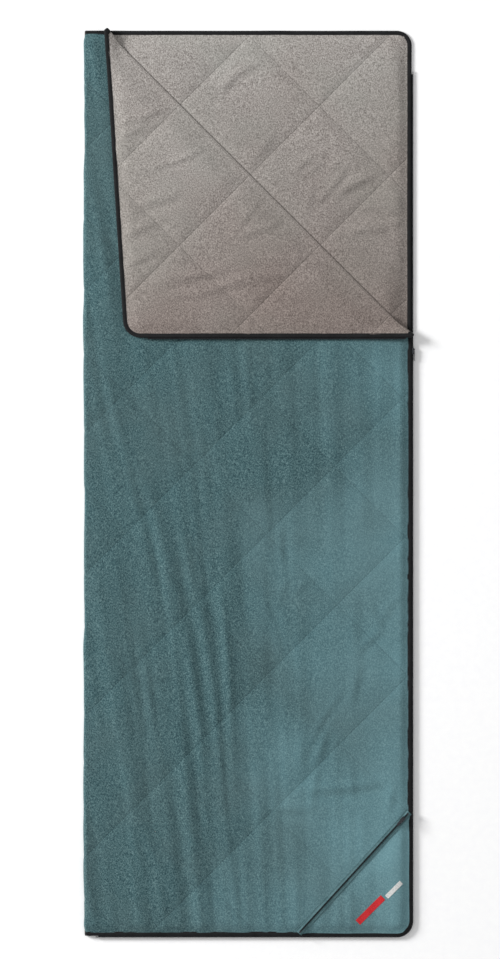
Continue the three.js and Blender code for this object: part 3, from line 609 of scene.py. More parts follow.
class Nodes:
    """A short hand for building one material's node tree."""

    def __init__(self, name, roughness, sheen=0.0, metallic=0.0):
        self.material = bpy.data.materials.new(name)
        self.material.use_nodes = True
        self.tree = self.material.node_tree
        self.shader = self.tree.nodes["Principled BSDF"]
        preset(self.shader, {"Roughness": roughness, "Metallic": metallic,
                             "Sheen Weight": sheen,
                             "Specular IOR Level": 0.5 if metallic else 0.2})
        self.where = self.node("ShaderNodeTexCoord").outputs["Object"]

    def node(self, kind, **values):
        node = self.tree.nodes.new(kind)
        for key, value in values.items():
            setattr(node, key, value)
        return node

    def link(self, value, socket):
        value = getattr(value, "socket", value)
        if isinstance(value, bpy.types.NodeSocket):
            self.tree.links.new(value, socket)
        else:
            socket.default_value = value

    def math(self, operation, *values):
        node = self.node("ShaderNodeMath", operation=operation)
        for value, socket in zip(values, node.inputs):
            self.link(value, socket)
        return Value(self, node.outputs[0])

    def texture(self, kind, turn, stretch=(1, 1, 1), **values):
        mapping, node = self.node("ShaderNodeMapping"), self.node(kind)
        preset(mapping, {"Scale": stretch, "Rotation": (0, 0, turn)})
        preset(node, values)
        self.link(self.where, mapping.inputs["Vector"])
        self.link(mapping.outputs[0], node.inputs["Vector"])
        return Value(self, node.outputs["Fac"])

    def noise(self, scale, detail=2.0, rough=0.5, stretch=(1, 1, 1), turn=0.0):
        return self.texture("ShaderNodeTexNoise", turn, stretch, Scale=scale, Detail=detail,
                            Roughness=rough)

    def waves(self, scale, turns, distortion):
        """Two sets of straight waves, laid over each other."""
        one, other = (self.texture("ShaderNodeTexWave", turn, Scale=scale,
                                   Distortion=distortion) for turn in turns)
        return one + other

    def ramp(self, value, stops):
        node = self.node("ShaderNodeValToRGB")
        self.link(value, node.inputs[0])
        elements = node.color_ramp.elements
        while len(elements) < len(stops):
            elements.new(0.5)
        for element, (at, colour) in zip(elements, stops):
            element.position = at
            element.color = (*linear(colour), 1)
        return node.outputs[0]

    def mix(self, share, base, colour, blend="MIX"):
        node = self.node("ShaderNodeMix", data_type="RGBA", blend_type=blend)
        for value, socket in ((share, 0), (base, 6), ((*linear(colour), 1), 7)):
            self.link(value, node.inputs[socket])
        return node.outputs[2]

    def axis(self, name):
        split = self.node("ShaderNodeSeparateXYZ")
        self.link(self.where, split.inputs[0])
        return Value(self, split.outputs[name])

    def finish(self, colour, height=None, strength=0.0, distance=0.0, rough=None):
        self.link(colour, self.shader.inputs["Base Color"])
        if rough is not None:
            self.link(rough, self.shader.inputs["Roughness"])
        if height is not None:
            bump = self.node("ShaderNodeBump")
            preset(bump, {"Strength": strength, "Distance": distance})
            self.link(height, bump.inputs["Height"])
            self.link(bump.outputs[0], self.shader.inputs["Normal"])
        return self.material


def linear(colour):
    """sRGB from 0 to 255, as linear."""
    return tuple((c / 255 / 12.92) if c < 10.3 else ((c / 255 + 0.055) / 1.055) ** 2.4
                 for c in colour)


LINE_HALF, STITCH_PITCH = mm(3.2, 4.6)
TWILL_COLUMN, TWILL_PITCH, TWILL_WANDER = mm(9.5, 3.6, 1.6)


def stitched(nodes, quilt):
    """1 on the quilting lines, 0 off them, and the same broken into stitches."""
    first, first_pitch, second, second_pitch = quilt
    total = nodes.axis("X") + nodes.axis("Y")
    apart = nodes.axis("X") - nodes.axis("Y")
    lines, stitches = [], []
    for value, run, start, pitch in ((total, apart, first, first_pitch),
                                     (apart, total, second, second_pitch)):
        off = nodes.math("ABSOLUTE", nodes.math("WRAP", value - start, pitch / 2, -pitch / 2))
        off = nodes.math("MINIMUM", 1.0, nodes.math("DIVIDE", off, LINE_HALF))
        line = nodes.math("SUBTRACT", 1.0, off)
        beat = nodes.math("SINE", run * (math.tau / STITCH_PITCH))
        lines.append(line)
        stitches.append(line * nodes.math("GREATER_THAN", beat, -0.45))
    return nodes.math("MAXIMUM", *lines), nodes.math("MAXIMUM", *stitches)


def herringbone(nodes):
    """Columns of twill that lean one way and then the other, from 0 to 1."""
    wander = nodes.noise(40) * TWILL_WANDER
    across = nodes.math("PINGPONG", nodes.axis("X") + wander, TWILL_COLUMN)
    run = nodes.axis("Y") + across + wander
    return nodes.math("SINE", run * (math.tau / TWILL_PITCH)) * 0.5 + 0.5


def melange(name, quilt, dark, middle, light, cool, painted_light_colour, blend, painted_light_slope, painted_light_patch, twill,
            groove):
    """Brushed woollen cloth of mixed fibres: dark, middle and light, with a short nap, and
    painted light and shade over it.
    """
    nodes = Nodes(name, 0.94, sheen=0.10)
    flecks = nodes.noise(430, 3.0, 0.62, (1.0, 0.72, 1), 0.2)
    fibres = nodes.noise(300, 4.0, 0.7, (2.6, 0.8, 1), 1.1)
    crossing = nodes.noise(300, 4.0, 0.7, (0.8, 2.4, 1), -0.3)
    mixed = flecks * 0.5 + (fibres + crossing) * 0.25
    weave = herringbone(nodes)
    share = (weave - 0.5) * (0.05 * twill) + mixed
    colour = nodes.ramp(share, [(0.39, dark), (0.50, middle), (0.61, light)])
    cloud = (nodes.noise(5, 3.0) * 4.0 - 1.7).clamped(0.0, 1.0)
    colour = nodes.mix(cloud * 0.24, colour, cool)
    # Painted light and shade: the cloth is drawn lighter or darker along a slope across it, as
    # the key light falls stronger or weaker, with soft patches in it.
    along_x, along_y, start = painted_light_slope
    drift = nodes.axis("X") * along_x + nodes.axis("Y") * along_y + start
    drift = drift + nodes.noise(3.2) * painted_light_patch - painted_light_patch / 2
    colour = nodes.mix(drift.clamped(0.0, 0.85), colour, painted_light_colour, blend)
    line, stitch = stitched(nodes, quilt)
    # Painted shade in the quilting grooves: the lines are darkened towards the dark fibre
    # colour, with the stitch dashes along them darker still.
    groove_shade = (nodes.noise(7) * 3.0 - 1.0).clamped(0.15, 1.0) * 0.15
    colour = nodes.mix(line * groove_shade, colour, dark)
    colour = nodes.mix(stitch * groove_shade, colour, dark)
    height = weave * (0.12 * twill) + mixed * 0.6 - line * groove
    return nodes.finish(colour, height, 0.6, 0.8 * MM)


def batting():
    nodes = Nodes("wool_batting", 0.98, sheen=0.2)
    tufts = nodes.noise(90, 5.0, 0.7)
    colour = nodes.ramp(tufts, [(0.3, (196, 186, 166)), (0.7, (232, 226, 212))])
    return nodes.finish(colour, tufts, 0.8, 1.2 * MM)


def ribbed_tape(name, dark, light, rib=700):
    """A tightly woven binding or zip tape with a fine cross rib and a little lint."""
    nodes = Nodes(name, 0.78, sheen=0.06)
    ribs = nodes.waves(rib, (math.pi / 4, -math.pi / 4), 0.3)
    share = nodes.noise(240, 4.0, 0.7) * 0.55 + nodes.noise(28, 3.0) * 0.45
    colour = nodes.ramp(share, [(0.36, dark), (0.68, light)])
    return nodes.finish(colour, ribs, 0.35, 0.15 * MM)


def coil_plastic():
    nodes = Nodes("zip_coil", 0.42)
    scuffs = nodes.noise(300, 3.0)
    colour = nodes.ramp(scuffs, [(0.3, (16, 17, 19)), (0.7, (34, 36, 39))])
    return nodes.finish(colour, scuffs, 0.2, 0.05 * MM, scuffs * 0.25 + 0.32)


def zip_metal():
    nodes = Nodes("zip_metal", 0.34, metallic=1.0)
    scuffs = nodes.noise(420, 4.0, 0.65)
    colour = nodes.ramp(scuffs, [(0.35, (52, 54, 58)), (0.75, (96, 98, 102))])
    return nodes.finish(colour, scuffs, 0.25, 0.04 * MM, scuffs * 0.35 + 0.2)


def label_cloth(name, dark, light):
    nodes = Nodes(name, 0.72, sheen=0.05)
    threads = nodes.waves(900, (0, math.pi / 2), 0.2)
    colour = nodes.ramp(nodes.noise(500, 3.0), [(0.35, dark), (0.65, light)])
    return nodes.finish(colour, threads, 0.4, 0.12 * MM)


MATERIALS = {
    "shell_cloth": melange(
        "shell_cloth", SHELL_QUILT, (27, 51, 59), (61, 91, 95), (104, 131, 133),
        cool=(84, 100, 100), painted_light_colour=(140, 188, 198), blend="MIX",
        painted_light_slope=(0.62, -0.15, -0.03), painted_light_patch=0.5, twill=1.0, groove=0.7),
    "lining_cloth": melange(
        "lining_cloth", LINING_QUILT, (98, 92, 88), (150, 145, 141), (190, 186, 181),
        cool=(150, 158, 150), painted_light_colour=(204, 190, 186), blend="MULTIPLY",
        painted_light_slope=(0.35, -1.35, 1.3), painted_light_patch=0.9, twill=0.3, groove=1.2),
    "wool_batting": batting(),
    "binding_tape": ribbed_tape("binding_tape", (9, 10, 11), (27, 28, 30)),
    "zip_tape": ribbed_tape("zip_tape", (14, 15, 17), (36, 38, 41), 900),
    "pocket_tape": ribbed_tape("pocket_tape", (56, 86, 91), (92, 122, 126), 900),
    "zip_coil": coil_plastic(),
    "zip_metal": zip_metal(),
    "label_red": label_cloth("label_red", (178, 30, 36), (206, 48, 52)),
    "label_grey": label_cloth("label_grey", (188, 190, 188), (222, 222, 220)),
}


def dress(obj, slot, material=None):
    obj.data.materials.clear()
    obj.data.materials.append(MATERIALS[material or slot])


def fit(obj, slot, body, node, material=None):
    """Gives a piece its material and the body it rides on, and hides the CAD node it stands
    for.
    """
    dress(obj, slot, material)
    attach(obj, body)
    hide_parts(node)


def fit_fold(obj, slot, node):
    """Gives a fold's piece its material, hides the CAD node it stands for and bakes its
    placement into its mesh.
    """
    dress(obj, slot)
    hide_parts(node)
    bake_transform(obj)


# ---- quilted panels


def panel_flat(xs, ys, cuts=()):
    flat, faces = cut_grid(xs, ys, cuts)
    x, y = panel_rounded(flat[:, 0], flat[:, 1])
    return np.stack([x, y], 1), faces


def raised(flat, height):
    return np.column_stack([flat, height(flat[:, 0], flat[:, 1])])


def turned(faces):
    return [tuple(reversed(face)) for face in faces]


WOOL_TOP = 4.5 * MM  # the back wool stays below the side fold's hinge


def area_of(flat, faces):
    """The flat area of a cut panel."""
    total = 0.0
    for face in faces:
        ring = flat[list(face)]
        x, y = ring[:, 0], ring[:, 1]
        total += 0.5 * abs(np.dot(x, np.roll(y, -1)) - np.dot(y, np.roll(x, -1)))
    return total


def cloth_panel(name, slot, cut, height, down, body, nodes):
    """One cut of cloth laid at a height field; `down` if its visible side faces the floor."""
    flat, faces = cut
    points = raised(flat, height)
    obj = cloth_sheet(name, points, turned(faces) if down else faces)
    dress(obj, slot)
    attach(obj, body)
    size = flat.max(0) - flat.min(0)
    float(min(area_of(flat, faces), size[0] * size[1]))
    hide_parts(*nodes)
    return obj


def batting_panel(name, cut, top, low, body, node):
    flat, faces = cut
    upper, lower = raised(flat, top), raised(flat, low)
    lower[:, 2] = np.minimum(lower[:, 2], upper[:, 2] - 0.6 * MM)
    obj = closed_between(name, upper, lower, faces)
    fit(obj, "wool_batting", body, node)


def between(height, other, share):
    """The height field a given share of the way from one to another."""
    return lambda x, y: height(x, y) * (1 - share) + other(x, y) * share


def batting_grid(step):
    """Rows and columns of wool, ending a little inside the bound edges."""
    clear = INSET + WOOL_SHORT
    return spaced(FOLD_X, SIDE - clear, step), spaced(FOOT + clear, HEAD - clear, step)


XS = spaced(FOLD_X, SIDE - INSET, GRID)
YS = spaced(FOOT + INSET, HEAD - INSET, GRID)
YS_BACK = np.concatenate([spaced(FOOT + INSET, SIDE_CORNER.y - 0.05, COARSE)[:-1],
                          spaced(SIDE_CORNER.y - 0.05, HEAD - INSET, GRID)])
COVER_CUT = [(tuple(HEAD_CORNER), (1, 1))]
WOOL_CUT = [(tuple(HEAD_CORNER - SEAM_OUT * 5 * MM), (1, 1))]


def build_back_panel():
    cut = panel_flat(spaced(FOLD_X, SIDE - INSET, COARSE), YS)
    cloth_panel("back_shell_cloth", "shell_cloth", cut, back_shell_z, True, "back_panel",
                ["back_outer_shell"])
    lining = cloth_panel("back_lining_cloth", "lining_cloth", panel_flat(XS, YS_BACK),
                         back_lining_z, False, "back_panel",
                         ["back_lining", "side_fold_lining"])
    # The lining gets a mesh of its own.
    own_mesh(lining)
    middle = between(back_lining_z, back_shell_z, 0.5)

    def top(x, y):
        return np.minimum(middle(x, y), WOOL_TOP)

    batting_panel("back_batting", panel_flat(*batting_grid(COARSE)), top,
                  between(back_shell_z, top, 0.5), "back_panel", "back_wool_fill")


def build_front_cover(side_fold):
    cloth_panel("cover_shell_cloth", "shell_cloth", panel_flat(XS, YS, COVER_CUT),
                cover_shell_z, False, "front_cover",
                ["front_outer_shell"])
    xs = [FOLD_X - LINING_LIP, *spaced(FOLD_X, SIDE - INSET, COARSE)]
    cut = panel_flat(xs, spaced(FOOT + INSET, HEAD - INSET, COARSE), COVER_CUT)
    cloth_panel("cover_lining_cloth", "lining_cloth", cut, cover_lining_z, True,
                "front_cover", ["front_lining"])
    batting_panel("cover_batting", panel_flat(*batting_grid(COARSE), WOOL_CUT),
                  between(cover_shell_z, cover_lining_z, 0.5),
                  between(cover_lining_z, cover_shell_z, 0.3), "front_cover",
                  "front_wool_fill")


def flap_corner(steps):
    """The centre of the flap's rounded corner, and even directions round it."""
    run = (HEAD_CORNER - FLAP_CORNER).normalized()
    slanted, low = Vector((-run.y, run.x)), Vector((0, -1))
    tangent = FLAP_CORNER + run * (FLAP_RADIUS / run.y)
    centre = Vector((tangent.x - FLAP_RADIUS / slanted.x, FLAP_CORNER.y + FLAP_RADIUS))
    return centre, [slanted.lerp(low, k / steps).normalized() for k in range(steps + 1)]


def flap_cut(step, inset=INSET, seam=0.0):
    """A grid cut to the turned-back flap's triangle, with its corner rounded."""
    centre, directions = flap_corner(9)
    cuts = [(tuple(HEAD_CORNER - SEAM_OUT * seam), (1, 1))]
    cuts += [(tuple(centre + way * (FLAP_RADIUS - inset)), tuple(way)) for way in directions]
    return cut_grid(spaced(HEAD_CORNER.x, SIDE_CORNER.x, step),
                    spaced(SIDE_CORNER.y, HEAD_CORNER.y, step), cuts)


def build_corner_flap(lining_fold, shell_fold):
    cloth_panel("flap_lining_cloth", "lining_cloth", flap_cut(FLAP_GRID), flap_lining_z,
                False, "corner_flap", ["flap_lining"])
    cloth_panel("flap_shell_cloth", "shell_cloth", flap_cut(COARSE), flap_shell_z, True,
                "corner_flap", ["flap_outer_shell"])
    batting_panel("flap_batting", flap_cut(COARSE, INSET + WOOL_SHORT, WOOL_SHORT),
                  between(flap_lining_z, flap_shell_z, 0.5),
                  between(flap_shell_z, flap_lining_z, 0.3), "corner_flap", "flap_wool_fill")


# ---- folds


def roll_surface(path, low, high, outward, steps, extra=0.0):
    """Points of a half-round strip from the lower panel's edge over to the upper's."""
    centre, radius = (low + high) / 2, (high - low) / 2
    angle = np.linspace(0, math.pi, steps + 1)
    reach = np.outer(radius + extra, np.sin(angle))
    z = centre[:, None] - np.outer(radius, np.cos(angle))
    x = path[:, 0][:, None] + outward[0] * reach
    y = path[:, 1][:, None] + outward[1] * reach
    return np.stack([x, y, z], -1).reshape(-1, 3), grid_faces(len(path), steps + 1)


def fold_cloth(name, slot, path, low, high, outward, steps, node, extra=0.0,
               inside=False):
    """A fold's strip of cloth; `inside` if its visible side faces the fold's middle."""
    points, faces = roll_surface(path, low, high, outward, steps, extra)
    obj = cloth_sheet(name, points, turned(faces) if inside else faces)
    fit_fold(obj, slot, node)
    return obj


def fold_batting(name, path, low, high, outward, node):
    """Wool between a fold's two cloths."""
    path, low, high = path[3:-3], low[3:-3], high[3:-3]
    centre, radius = (low + high) / 2, (high - low) / 2
    (outer, faces), (inner, _) = (
        roll_surface(path, centre - share * radius, centre + share * radius, outward, 8)
        for share in (0.6, 0.3))
    obj = closed_between(name, outer, inner, faces)
    fit_fold(obj, "wool_batting", node)


def build_side_fold():
    path = np.column_stack([np.full(len(YS), FOLD_X), YS])
    low, high = back_shell_z(*path.T), cover_shell_z(*path.T)
    wave = 1.6 * MM * value_noise(YS, YS * 0, 130 * MM, 71)
    wave += 0.7 * MM * value_noise(YS, YS * 0, 40 * MM, 72)
    wave *= smooth(np.minimum(HEAD - YS, YS - FOOT), 8 * MM, 50 * MM)
    fold_batting("side_fold_batting", path, low, high, (-1, 0),
                 "side_fold_wool")
    return fold_cloth("side_fold_cloth", "shell_cloth", path, low, high, (-1, 0), 14,
                      "side_fold_shell", wave)


def build_corner_fold():
    """The lining rolls over the diagonal fold, with the shell tight inside it."""
    length = (SIDE_CORNER - HEAD_CORNER).length
    trim = INSET * ROOT2
    along = spaced(trim, length - trim, GRID)
    path = np.array(HEAD_CORNER) + np.outer(along, np.array(SEAM_ALONG))
    low, high = cover_lining_z(*path.T), flap_lining_z(*path.T)
    lining = fold_cloth("corner_fold_lining_cloth", "lining_cloth", path, low, high,
                        SEAM_OUT, 12, "corner_fold_lining")
    fold_batting("corner_fold_batting", path, low, high, SEAM_OUT,
                 "corner_fold_wool")
    low, high = cover_shell_z(*path.T), flap_shell_z(*path.T)
    shell = fold_cloth("corner_fold_shell_cloth", "shell_cloth", path, low, high, SEAM_OUT,
                       8, "corner_fold_shell", inside=True)
    return lining, shell


# ---- bindings and zip

BINDING_WIDTH = 9.5 * MM
BINDING_HALF = BINDING_TOP / 2


def binding_section():
    """(inward, up) outline of a rounded binding with a stitched groove, from its lip."""
    w, h = BINDING_WIDTH, BINDING_HALF
    upper = [(w, 0.62 * h), (0.97 * w, 0.84 * h), (0.88 * w, 0.93 * h), (0.80 * w, 0.76 * h),
             (0.72 * w, 0.95 * h), (0.48 * w, 1.04 * h), (0.24 * w, 0.98 * h),
             (0.10 * w, 0.78 * h), (0.02 * w, 0.40 * h)]
    return np.array(upper + [(0, 0)] + [(a, -b) for a, b in reversed(upper)])


def swept(name, section, places, inward, up=(0, 0, 1)):
    """A closed strip: `section` carried along places, each with its two directions."""
    inward, up = np.broadcast_to(inward, places.shape), np.broadcast_to(up, places.shape)
    count, size = len(places), len(section)
    rings = (places[:, None] + inward[:, None] * section[:, 0][None, :, None]
             + up[:, None] * section[:, 1][None, :, None])
    faces = [(i * size + j, i * size + (j + 1) % size,
              (i + 1) * size + (j + 1) % size, (i + 1) * size + j)
             for i in range(count - 1) for j in range(size)]
    faces += [tuple(reversed(range(size))), tuple((count - 1) * size + j for j in range(size))]
    return new_object(name, rings.reshape(-1, 3), faces)


def resampled(points, step):
    """The same polyline with even spacing, and its unit tangents."""
    gaps = np.hypot(*np.diff(points[:, :2], axis=0).T)
    at = np.concatenate([[0], np.cumsum(gaps)])
    even = spaced(0, at[-1], step)
    line = np.column_stack([np.interp(even, at, points[:, k]) for k in range(2)])
    tangent = np.gradient(line, axis=0)
    return line, tangent / np.hypot(*tangent.T)[:, None], even


def corner_arc(corner, signs):
    """Points round a panel's corner, from the zip side."""
    centre = np.array(corner) - np.array(signs) * CORNER_RADIUS
    angle = np.linspace(0, math.pi / 2, 12)
    return centre + CORNER_RADIUS * np.column_stack([np.cos(angle), np.sin(angle)]) * signs


FOOT_CORNER_ARC = corner_arc((SIDE, FOOT), (1, -1))[::-1]
HEAD_CORNER_ARC = corner_arc((SIDE, HEAD), (1, 1))


def edge_strip(name, section, points, base, step, ridge=None, wobble=0.35 * MM):
    """A strip along an outline that runs anticlockwise; `base(x, y)` is its mid height."""
    line, tangent, at = resampled(points, step)
    inward = np.column_stack([-tangent[:, 1], tangent[:, 0]])
    drift = wobble * value_noise(line[:, 0], line[:, 1], 60 * MM, 81)
    line = line + inward * drift[:, None]
    z = base(line[:, 0], line[:, 1])
    z = z + 0.5 * wobble * value_noise(line[:, 0], line[:, 1], 35 * MM, 82)
    places = np.column_stack([line, z])
    if ridge is not None:
        pitch, depth = ridge
        pulse = depth * np.cos(math.tau * at / pitch)
        places[:, :2] -= inward * pulse[:, None]
    return swept(name, section, places, np.column_stack([inward, np.zeros(len(line))]))


def level(z):
    return lambda x, y: np.full_like(x, z)


def flap_binding_z(x, y):
    return flap_edge_z(x, y) + BINDING_HALF


def flap_outline():
    """The turned-back flap's bound edges, anticlockwise from the head end of the fold."""
    centre, directions = flap_corner(12)
    return np.array([HEAD_CORNER, *(centre + way * FLAP_RADIUS for way in directions),
                     SIDE_CORNER])


def build_bindings():
    section = binding_section()
    start, end = (FOLD_X, FOOT), (FOLD_X, HEAD)
    lower, upper = level(BINDING_HALF), level(COVER_BINDING_Z + BINDING_HALF)
    runs = (
        ("back_binding", np.array([start, *FOOT_CORNER_ARC, *HEAD_CORNER_ARC, end]), lower,
         "back_panel", "back_edge_binding"),
        ("cover_binding", np.array([start, *FOOT_CORNER_ARC, SIDE_CORNER]), upper,
         "front_cover", "front_edge_binding"),
        ("cover_head_binding", np.array([HEAD_CORNER, end]), upper, "front_cover",
         "front_head_binding"),
        ("flap_binding", flap_outline(), flap_binding_z, "corner_flap",
         "flap_edge_binding"),
    )
    for name, points, base, body, node in runs:
        fit(edge_strip(name, section, points, base, GRID), "binding_tape", body, node)


def folded_binding(name, corner, inward, outward, hinge_z, low_z, node):
    """The binding carried half a turn round a fold; its middle keeps `low_z` at the start."""
    angle = np.linspace(0, math.pi, 17)
    radius = hinge_z - low_z
    out, side = np.array([*outward, 0.0]), np.array([*inward, 0.0])
    places = (np.array([*corner, hinge_z]) + np.outer(radius * np.sin(angle), out)
              - np.outer(radius * np.cos(angle), [0, 0, 1.0]))
    up = np.outer(-np.sin(angle), out) + np.outer(np.cos(angle), [0, 0, 1.0])
    fit_fold(swept(name, binding_section(), places, side, up), "binding_tape",
             node)


def build_folded_bindings():
    lower, upper = BINDING_HALF, COVER_BINDING_Z + BINDING_HALF
    for name, y, inward in (("head", HEAD, (0, -1)), ("foot", FOOT, (0, 1))):
        folded_binding(f"{name}_fold_edge", (FOLD_X, y), inward, (-1, 0),
                       (lower + upper) / 2, lower,
                       f"{name}_fold_binding")
    low = COVER_BINDING_Z + BINDING_HALF
    for name, corner, towards in (("head", HEAD_CORNER, 1), ("side", SIDE_CORNER, -1)):
        inward = SEAM_ALONG * towards * ROOT2
        folded_binding(f"{name}_corner_fold_edge", corner, inward, SEAM_OUT, SEAM_Z, low,
                       f"corner_fold_{name}_binding")


COIL_PITCH = 2.4 * MM
# (inward, up) outlines of the tape standing off the binding and of the coil on its free edge.
TAPE_SECTION = np.array([(0.2, 2.9), (-2.3, 2.9), (-2.3, 0.5), (-1.7, 0.5), (-1.7, 2.4),
                         (0.2, 2.4)]) * MM
COIL_SECTION = np.array([(-2.3, 0.5), (-2.3, 2.7), (-3.24, 2.7), (-3.6, 2.1), (-3.6, 1.1),
                         (-3.24, 0.5)]) * MM


def chain_half(name, points, middle, sign, body, nodes):
    """Half of the zip; `sign` is 1 if its coil stands up from the middle, -1 if it hangs."""
    for part, section, step, ridge, slot, node in (
            ("tape", TAPE_SECTION, 8 * MM, None, "zip_tape", nodes[0]),
            ("coil", COIL_SECTION, COIL_PITCH / 4, (COIL_PITCH, 0.28 * MM), "zip_coil",
             nodes[1])):
        obj = edge_strip(f"{name}_{part}", section * (1, sign), points, middle, step, ridge,
                         0.0)
        fit(obj, slot, body, node)


def build_zip():
    coil_low, coil_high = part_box("back_zip_coil")
    foot_run = [(coil_low.x, FOOT), *FOOT_CORNER_ARC]
    cover_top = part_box("front_zip_coil")[1].y
    for panel, top, sign, body, side in (
            ("back", coil_high.y, -1, "back_panel", "back"),
            ("cover", cover_top, 1, "front_cover", "front")):
        chain_half(f"{panel}_chain", np.array([*foot_run, (SIDE, top)]), level(CHAIN_Z), sign,
                   body, (f"{side}_zip_tape", f"{side}_zip_coil"))
    flap_low, flap_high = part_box("flap_zip_coil")
    along = np.array([(flap_low.x, SIDE_CORNER.y), (flap_high.x, SIDE_CORNER.y)])
    chain_half("flap_chain", along, lambda x, y: flap_edge_z(x, y) + BINDING_TOP, -1,
               "corner_flap", ("flap_zip_tape", "flap_zip_coil"))


def hardware(node, name, drop=0.0):
    """A slider, pull or stop: its CAD shape with its edges broken."""
    source = frame["nodes"][node]
    obj = linked(name, source.data.copy())
    edit = bmesh.new()
    edit.from_mesh(obj.data)
    bmesh.ops.remove_doubles(edit, verts=edit.verts[:], dist=0.01 * MM)
    bmesh.ops.dissolve_limit(edit, angle_limit=math.radians(3), verts=edit.verts[:],
                             edges=edit.edges[:])
    sharp = [e for e in edit.edges if e.is_manifold and e.calc_face_angle(0) > 0.6]
    bmesh.ops.bevel(edit, geom=sharp, offset=0.16 * MM, segments=2, affect="EDGES",
                    profile=0.6, clamp_overlap=True)
    bmesh.ops.translate(edit, verts=edit.verts[:], vec=(0, 0, -drop))
    edit.to_mesh(obj.data)
    edit.free()
    obj.data.shade_smooth()
    obj.data.set_sharp_from_angle(angle=math.radians(35))
    fit(obj, "zip_metal", source["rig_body"], node)


def build_hardware():
    for node, name in (("zip_slider_body", "side_slider"), ("zip_pull_tab", "side_pull"),
                       ("pocket_slider_body", "pocket_slider_metal"),
                       ("pocket_pull_tab", "pocket_pull_metal"),
                       ("back_zip_top_stop", "back_top_stop"),
                       ("zip_bottom_stop", "bottom_stop"),
                       ("pocket_zip_upper_stop", "pocket_upper_stop"),
                       ("pocket_zip_lower_stop", "pocket_lower_stop")):
        hardware(node, name)
    x, y = np.array([middle_of("flap_zip_top_stop").x]), np.array([SIDE_CORNER.y])
    lowered = float(flap_edge_z(x, y)[0]) + BINDING_TOP
    stop_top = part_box("flap_zip_top_stop")[1].z
    hardware("flap_zip_top_stop", "flap_top_stop", stop_top + 0.5 * MM - lowered)


# ---- corner pocket and label


def middle_of(node):
    """The middle of a CAD node's box, seen from above."""
    low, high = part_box(node)
    return Vector(((low.x + high.x) / 2, (low.y + high.y) / 2))


UPPER, LOWER = middle_of("pocket_zip_upper_stop"), middle_of("pocket_zip_lower_stop")
CHAIN_UP = (UPPER - LOWER).normalized()
POCKET_SIDE = Vector((CHAIN_UP.y, -CHAIN_UP.x))
POCKET_CHAIN_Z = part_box("pocket_zip_upper_stop")[0].z


def from_chain(x, y):
    """Distance from the pocket zip's line, positive on the pocket."""
    return (x - LOWER.x) * POCKET_SIDE.x + (y - LOWER.y) * POCKET_SIDE.y


def pocket_z(x, y):
    off = from_chain(x, y)
    inside = from_bound_edges(x, y)
    puff = smooth(off, 4 * MM, 60 * MM) * smooth(inside, 4 * MM, 50 * MM)
    hem = 0.5 * MM * (smooth(off, 1 * MM, 3 * MM) - smooth(off, 9 * MM, 11 * MM))
    gather = 0.9 * MM * value_noise(x, y, 42 * MM, 91) * puff
    return cover_shell_z(x, y) + 0.75 * MM + hem + 1.6 * MM * puff + gather


def build_pocket():
    low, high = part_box("corner_pocket_panel")
    xs = spaced(low.x, SIDE - INSET, 5 * MM)
    ys = spaced(FOOT + INSET, high.y, 5 * MM)
    edge = LOWER + POCKET_SIDE * 2 * MM
    cut = panel_flat(xs, ys, [(tuple(edge), tuple(-POCKET_SIDE))])
    cloth_panel("pocket_cloth", "shell_cloth", cut, pocket_z, False, "front_cover",
                ["corner_pocket_panel"])
    for side, name, surface in ((1, "pocket", pocket_z), (-1, "shell", cover_shell_z)):
        pocket_chain_half(side, name, surface)


POCKET_TAPE_COLUMNS = np.array([0.5, 2.5, 4.2, 6.0, 7.5]) * MM
POCKET_COIL_SECTION = np.array([(0.45, 0.0), (1.7, 0.0), (1.8, 0.5), (1.5, 0.95),
                                (0.5, 0.95)]) * MM


def pocket_chain_half(side, name, surface):
    """A tape that runs from the coil down to the cloth, and the coil on its edge."""
    across = np.array(POCKET_SIDE) * side
    length = (UPPER - LOWER).length
    at = spaced(-5 * MM, length + 5 * MM, 4 * MM)
    line = np.array(LOWER) + np.outer(at, np.array(CHAIN_UP))
    columns = POCKET_TAPE_COLUMNS
    flat = (line[:, None] + columns[None, :, None] * across).reshape(-1, 2)
    share = smooth(np.tile(columns, len(line)), 2.0 * MM, 5.0 * MM)
    sewn = surface(flat[:, 0], flat[:, 1]) + 0.7 * MM
    z = (POCKET_CHAIN_Z - 0.1 * MM) * (1 - share) + sewn * share
    faces = grid_faces(len(line), len(columns))
    tape = cloth_sheet(f"pocket_tape_{name}", np.column_stack([flat, z]),
                       faces if side < 0 else turned(faces), 0.4 * MM)
    fit(tape, "zip_tape", "front_cover", f"pocket_zip_tape_{name}", "pocket_tape")
    at = spaced(0, length, 0.5 * MM)
    pulse = 0.10 * MM * np.cos(math.tau * at / (2 * MM) + side)
    places = np.array(LOWER) + np.outer(at, np.array(CHAIN_UP)) + np.outer(pulse, across)
    places = np.column_stack([places, np.full(len(at), POCKET_CHAIN_Z)])
    coil = swept(f"pocket_coil_{name}", POCKET_COIL_SECTION, places, [*across, 0.0])
    fit(coil, "zip_coil", "front_cover", f"pocket_zip_coil_{name}")


LABEL_ALONG, LABEL_ACROSS = np.array([1, 1]) / ROOT2, np.array([-1, 1]) / ROOT2


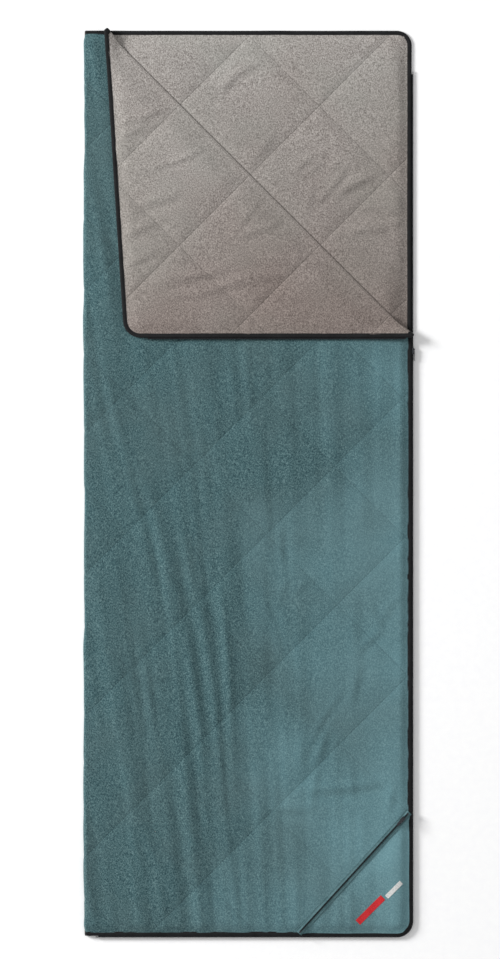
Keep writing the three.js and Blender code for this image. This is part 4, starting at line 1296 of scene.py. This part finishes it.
def label_bar(name, material, centre, width, height):
    """One woven bar of the label, parallel to x = y, lying on the pocket."""
    a, b = np.meshgrid(spaced(-width / 2, width / 2, 2 * MM),
                       spaced(-height / 2, height / 2, 2 * MM))
    flat = centre + a.reshape(-1, 1) * LABEL_ALONG + b.reshape(-1, 1) * LABEL_ACROSS
    z = pocket_z(flat[:, 0], flat[:, 1]) + 0.5 * MM
    obj = cloth_sheet(name, np.column_stack([flat, z]), grid_faces(*a.shape))
    dress(obj, "label_weave", material)
    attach(obj, "front_cover")
    return obj


def build_label():
    centre = np.array(middle_of("woven_label"))
    first = label_bar("label_long_bar", "label_red",
                      centre - LABEL_ALONG * 26 * MM + LABEL_ACROSS * 2 * MM,
                      78 * MM, 14 * MM)
    label_bar("label_short_bar", "label_grey",
              centre + LABEL_ALONG * 42 * MM - LABEL_ACROSS * 3 * MM, 46 * MM, 10 * MM)
    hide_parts("woven_label")


# ---- floor, light, camera

VIEW_CENTRE = mm(1.8, 6.6)
VIEW_HEIGHT = 12.0
VIEW_LENS = 204.8


def build_stage():
    bpy.ops.mesh.primitive_plane_add(size=14, location=(0, 0, -0.2 * MM))
    floor = bpy.context.object
    floor.name = "floor"
    nodes = Nodes("floor_paper", 0.9)
    grain = nodes.noise(60, 2.0)
    floor.data.materials.append(nodes.finish(nodes.ramp(
        grain, [(0.3, (250, 250, 251)), (0.7, (253, 253, 253))])))
    world = bpy.data.worlds.new("studio")
    world.use_nodes = True
    preset(world.node_tree.nodes["Background"], {"Color": (1, 1, 1, 1), "Strength": 0.58})
    bpy.context.scene.world = world
    soft_light("key", (-7.6, 2.9, 3.6), 2.6, 1050)


def soft_light(name, at, size, power):
    lamp = bpy.data.lights.new(name, "AREA")
    lamp.size = size
    lamp.energy = power
    obj = linked(name, lamp)
    obj.location = at
    obj.rotation_euler = (-Vector(at)).to_track_quat("-Z", "Y").to_euler()


def build_camera():
    lens = bpy.data.cameras.new("view")
    lens.lens = VIEW_LENS
    lens.clip_end = 60
    camera = linked("view", lens)
    camera.location = (*VIEW_CENTRE, VIEW_HEIGHT)
    bpy.context.scene.camera = camera
    bpy.context.scene.view_settings.view_transform = "Standard"


build_back_panel()
build_front_cover(build_side_fold())
build_corner_flap(*build_corner_fold())
build_bindings()
build_folded_bindings()
build_zip()
build_hardware()
build_pocket()
build_label()
build_stage()
build_camera()
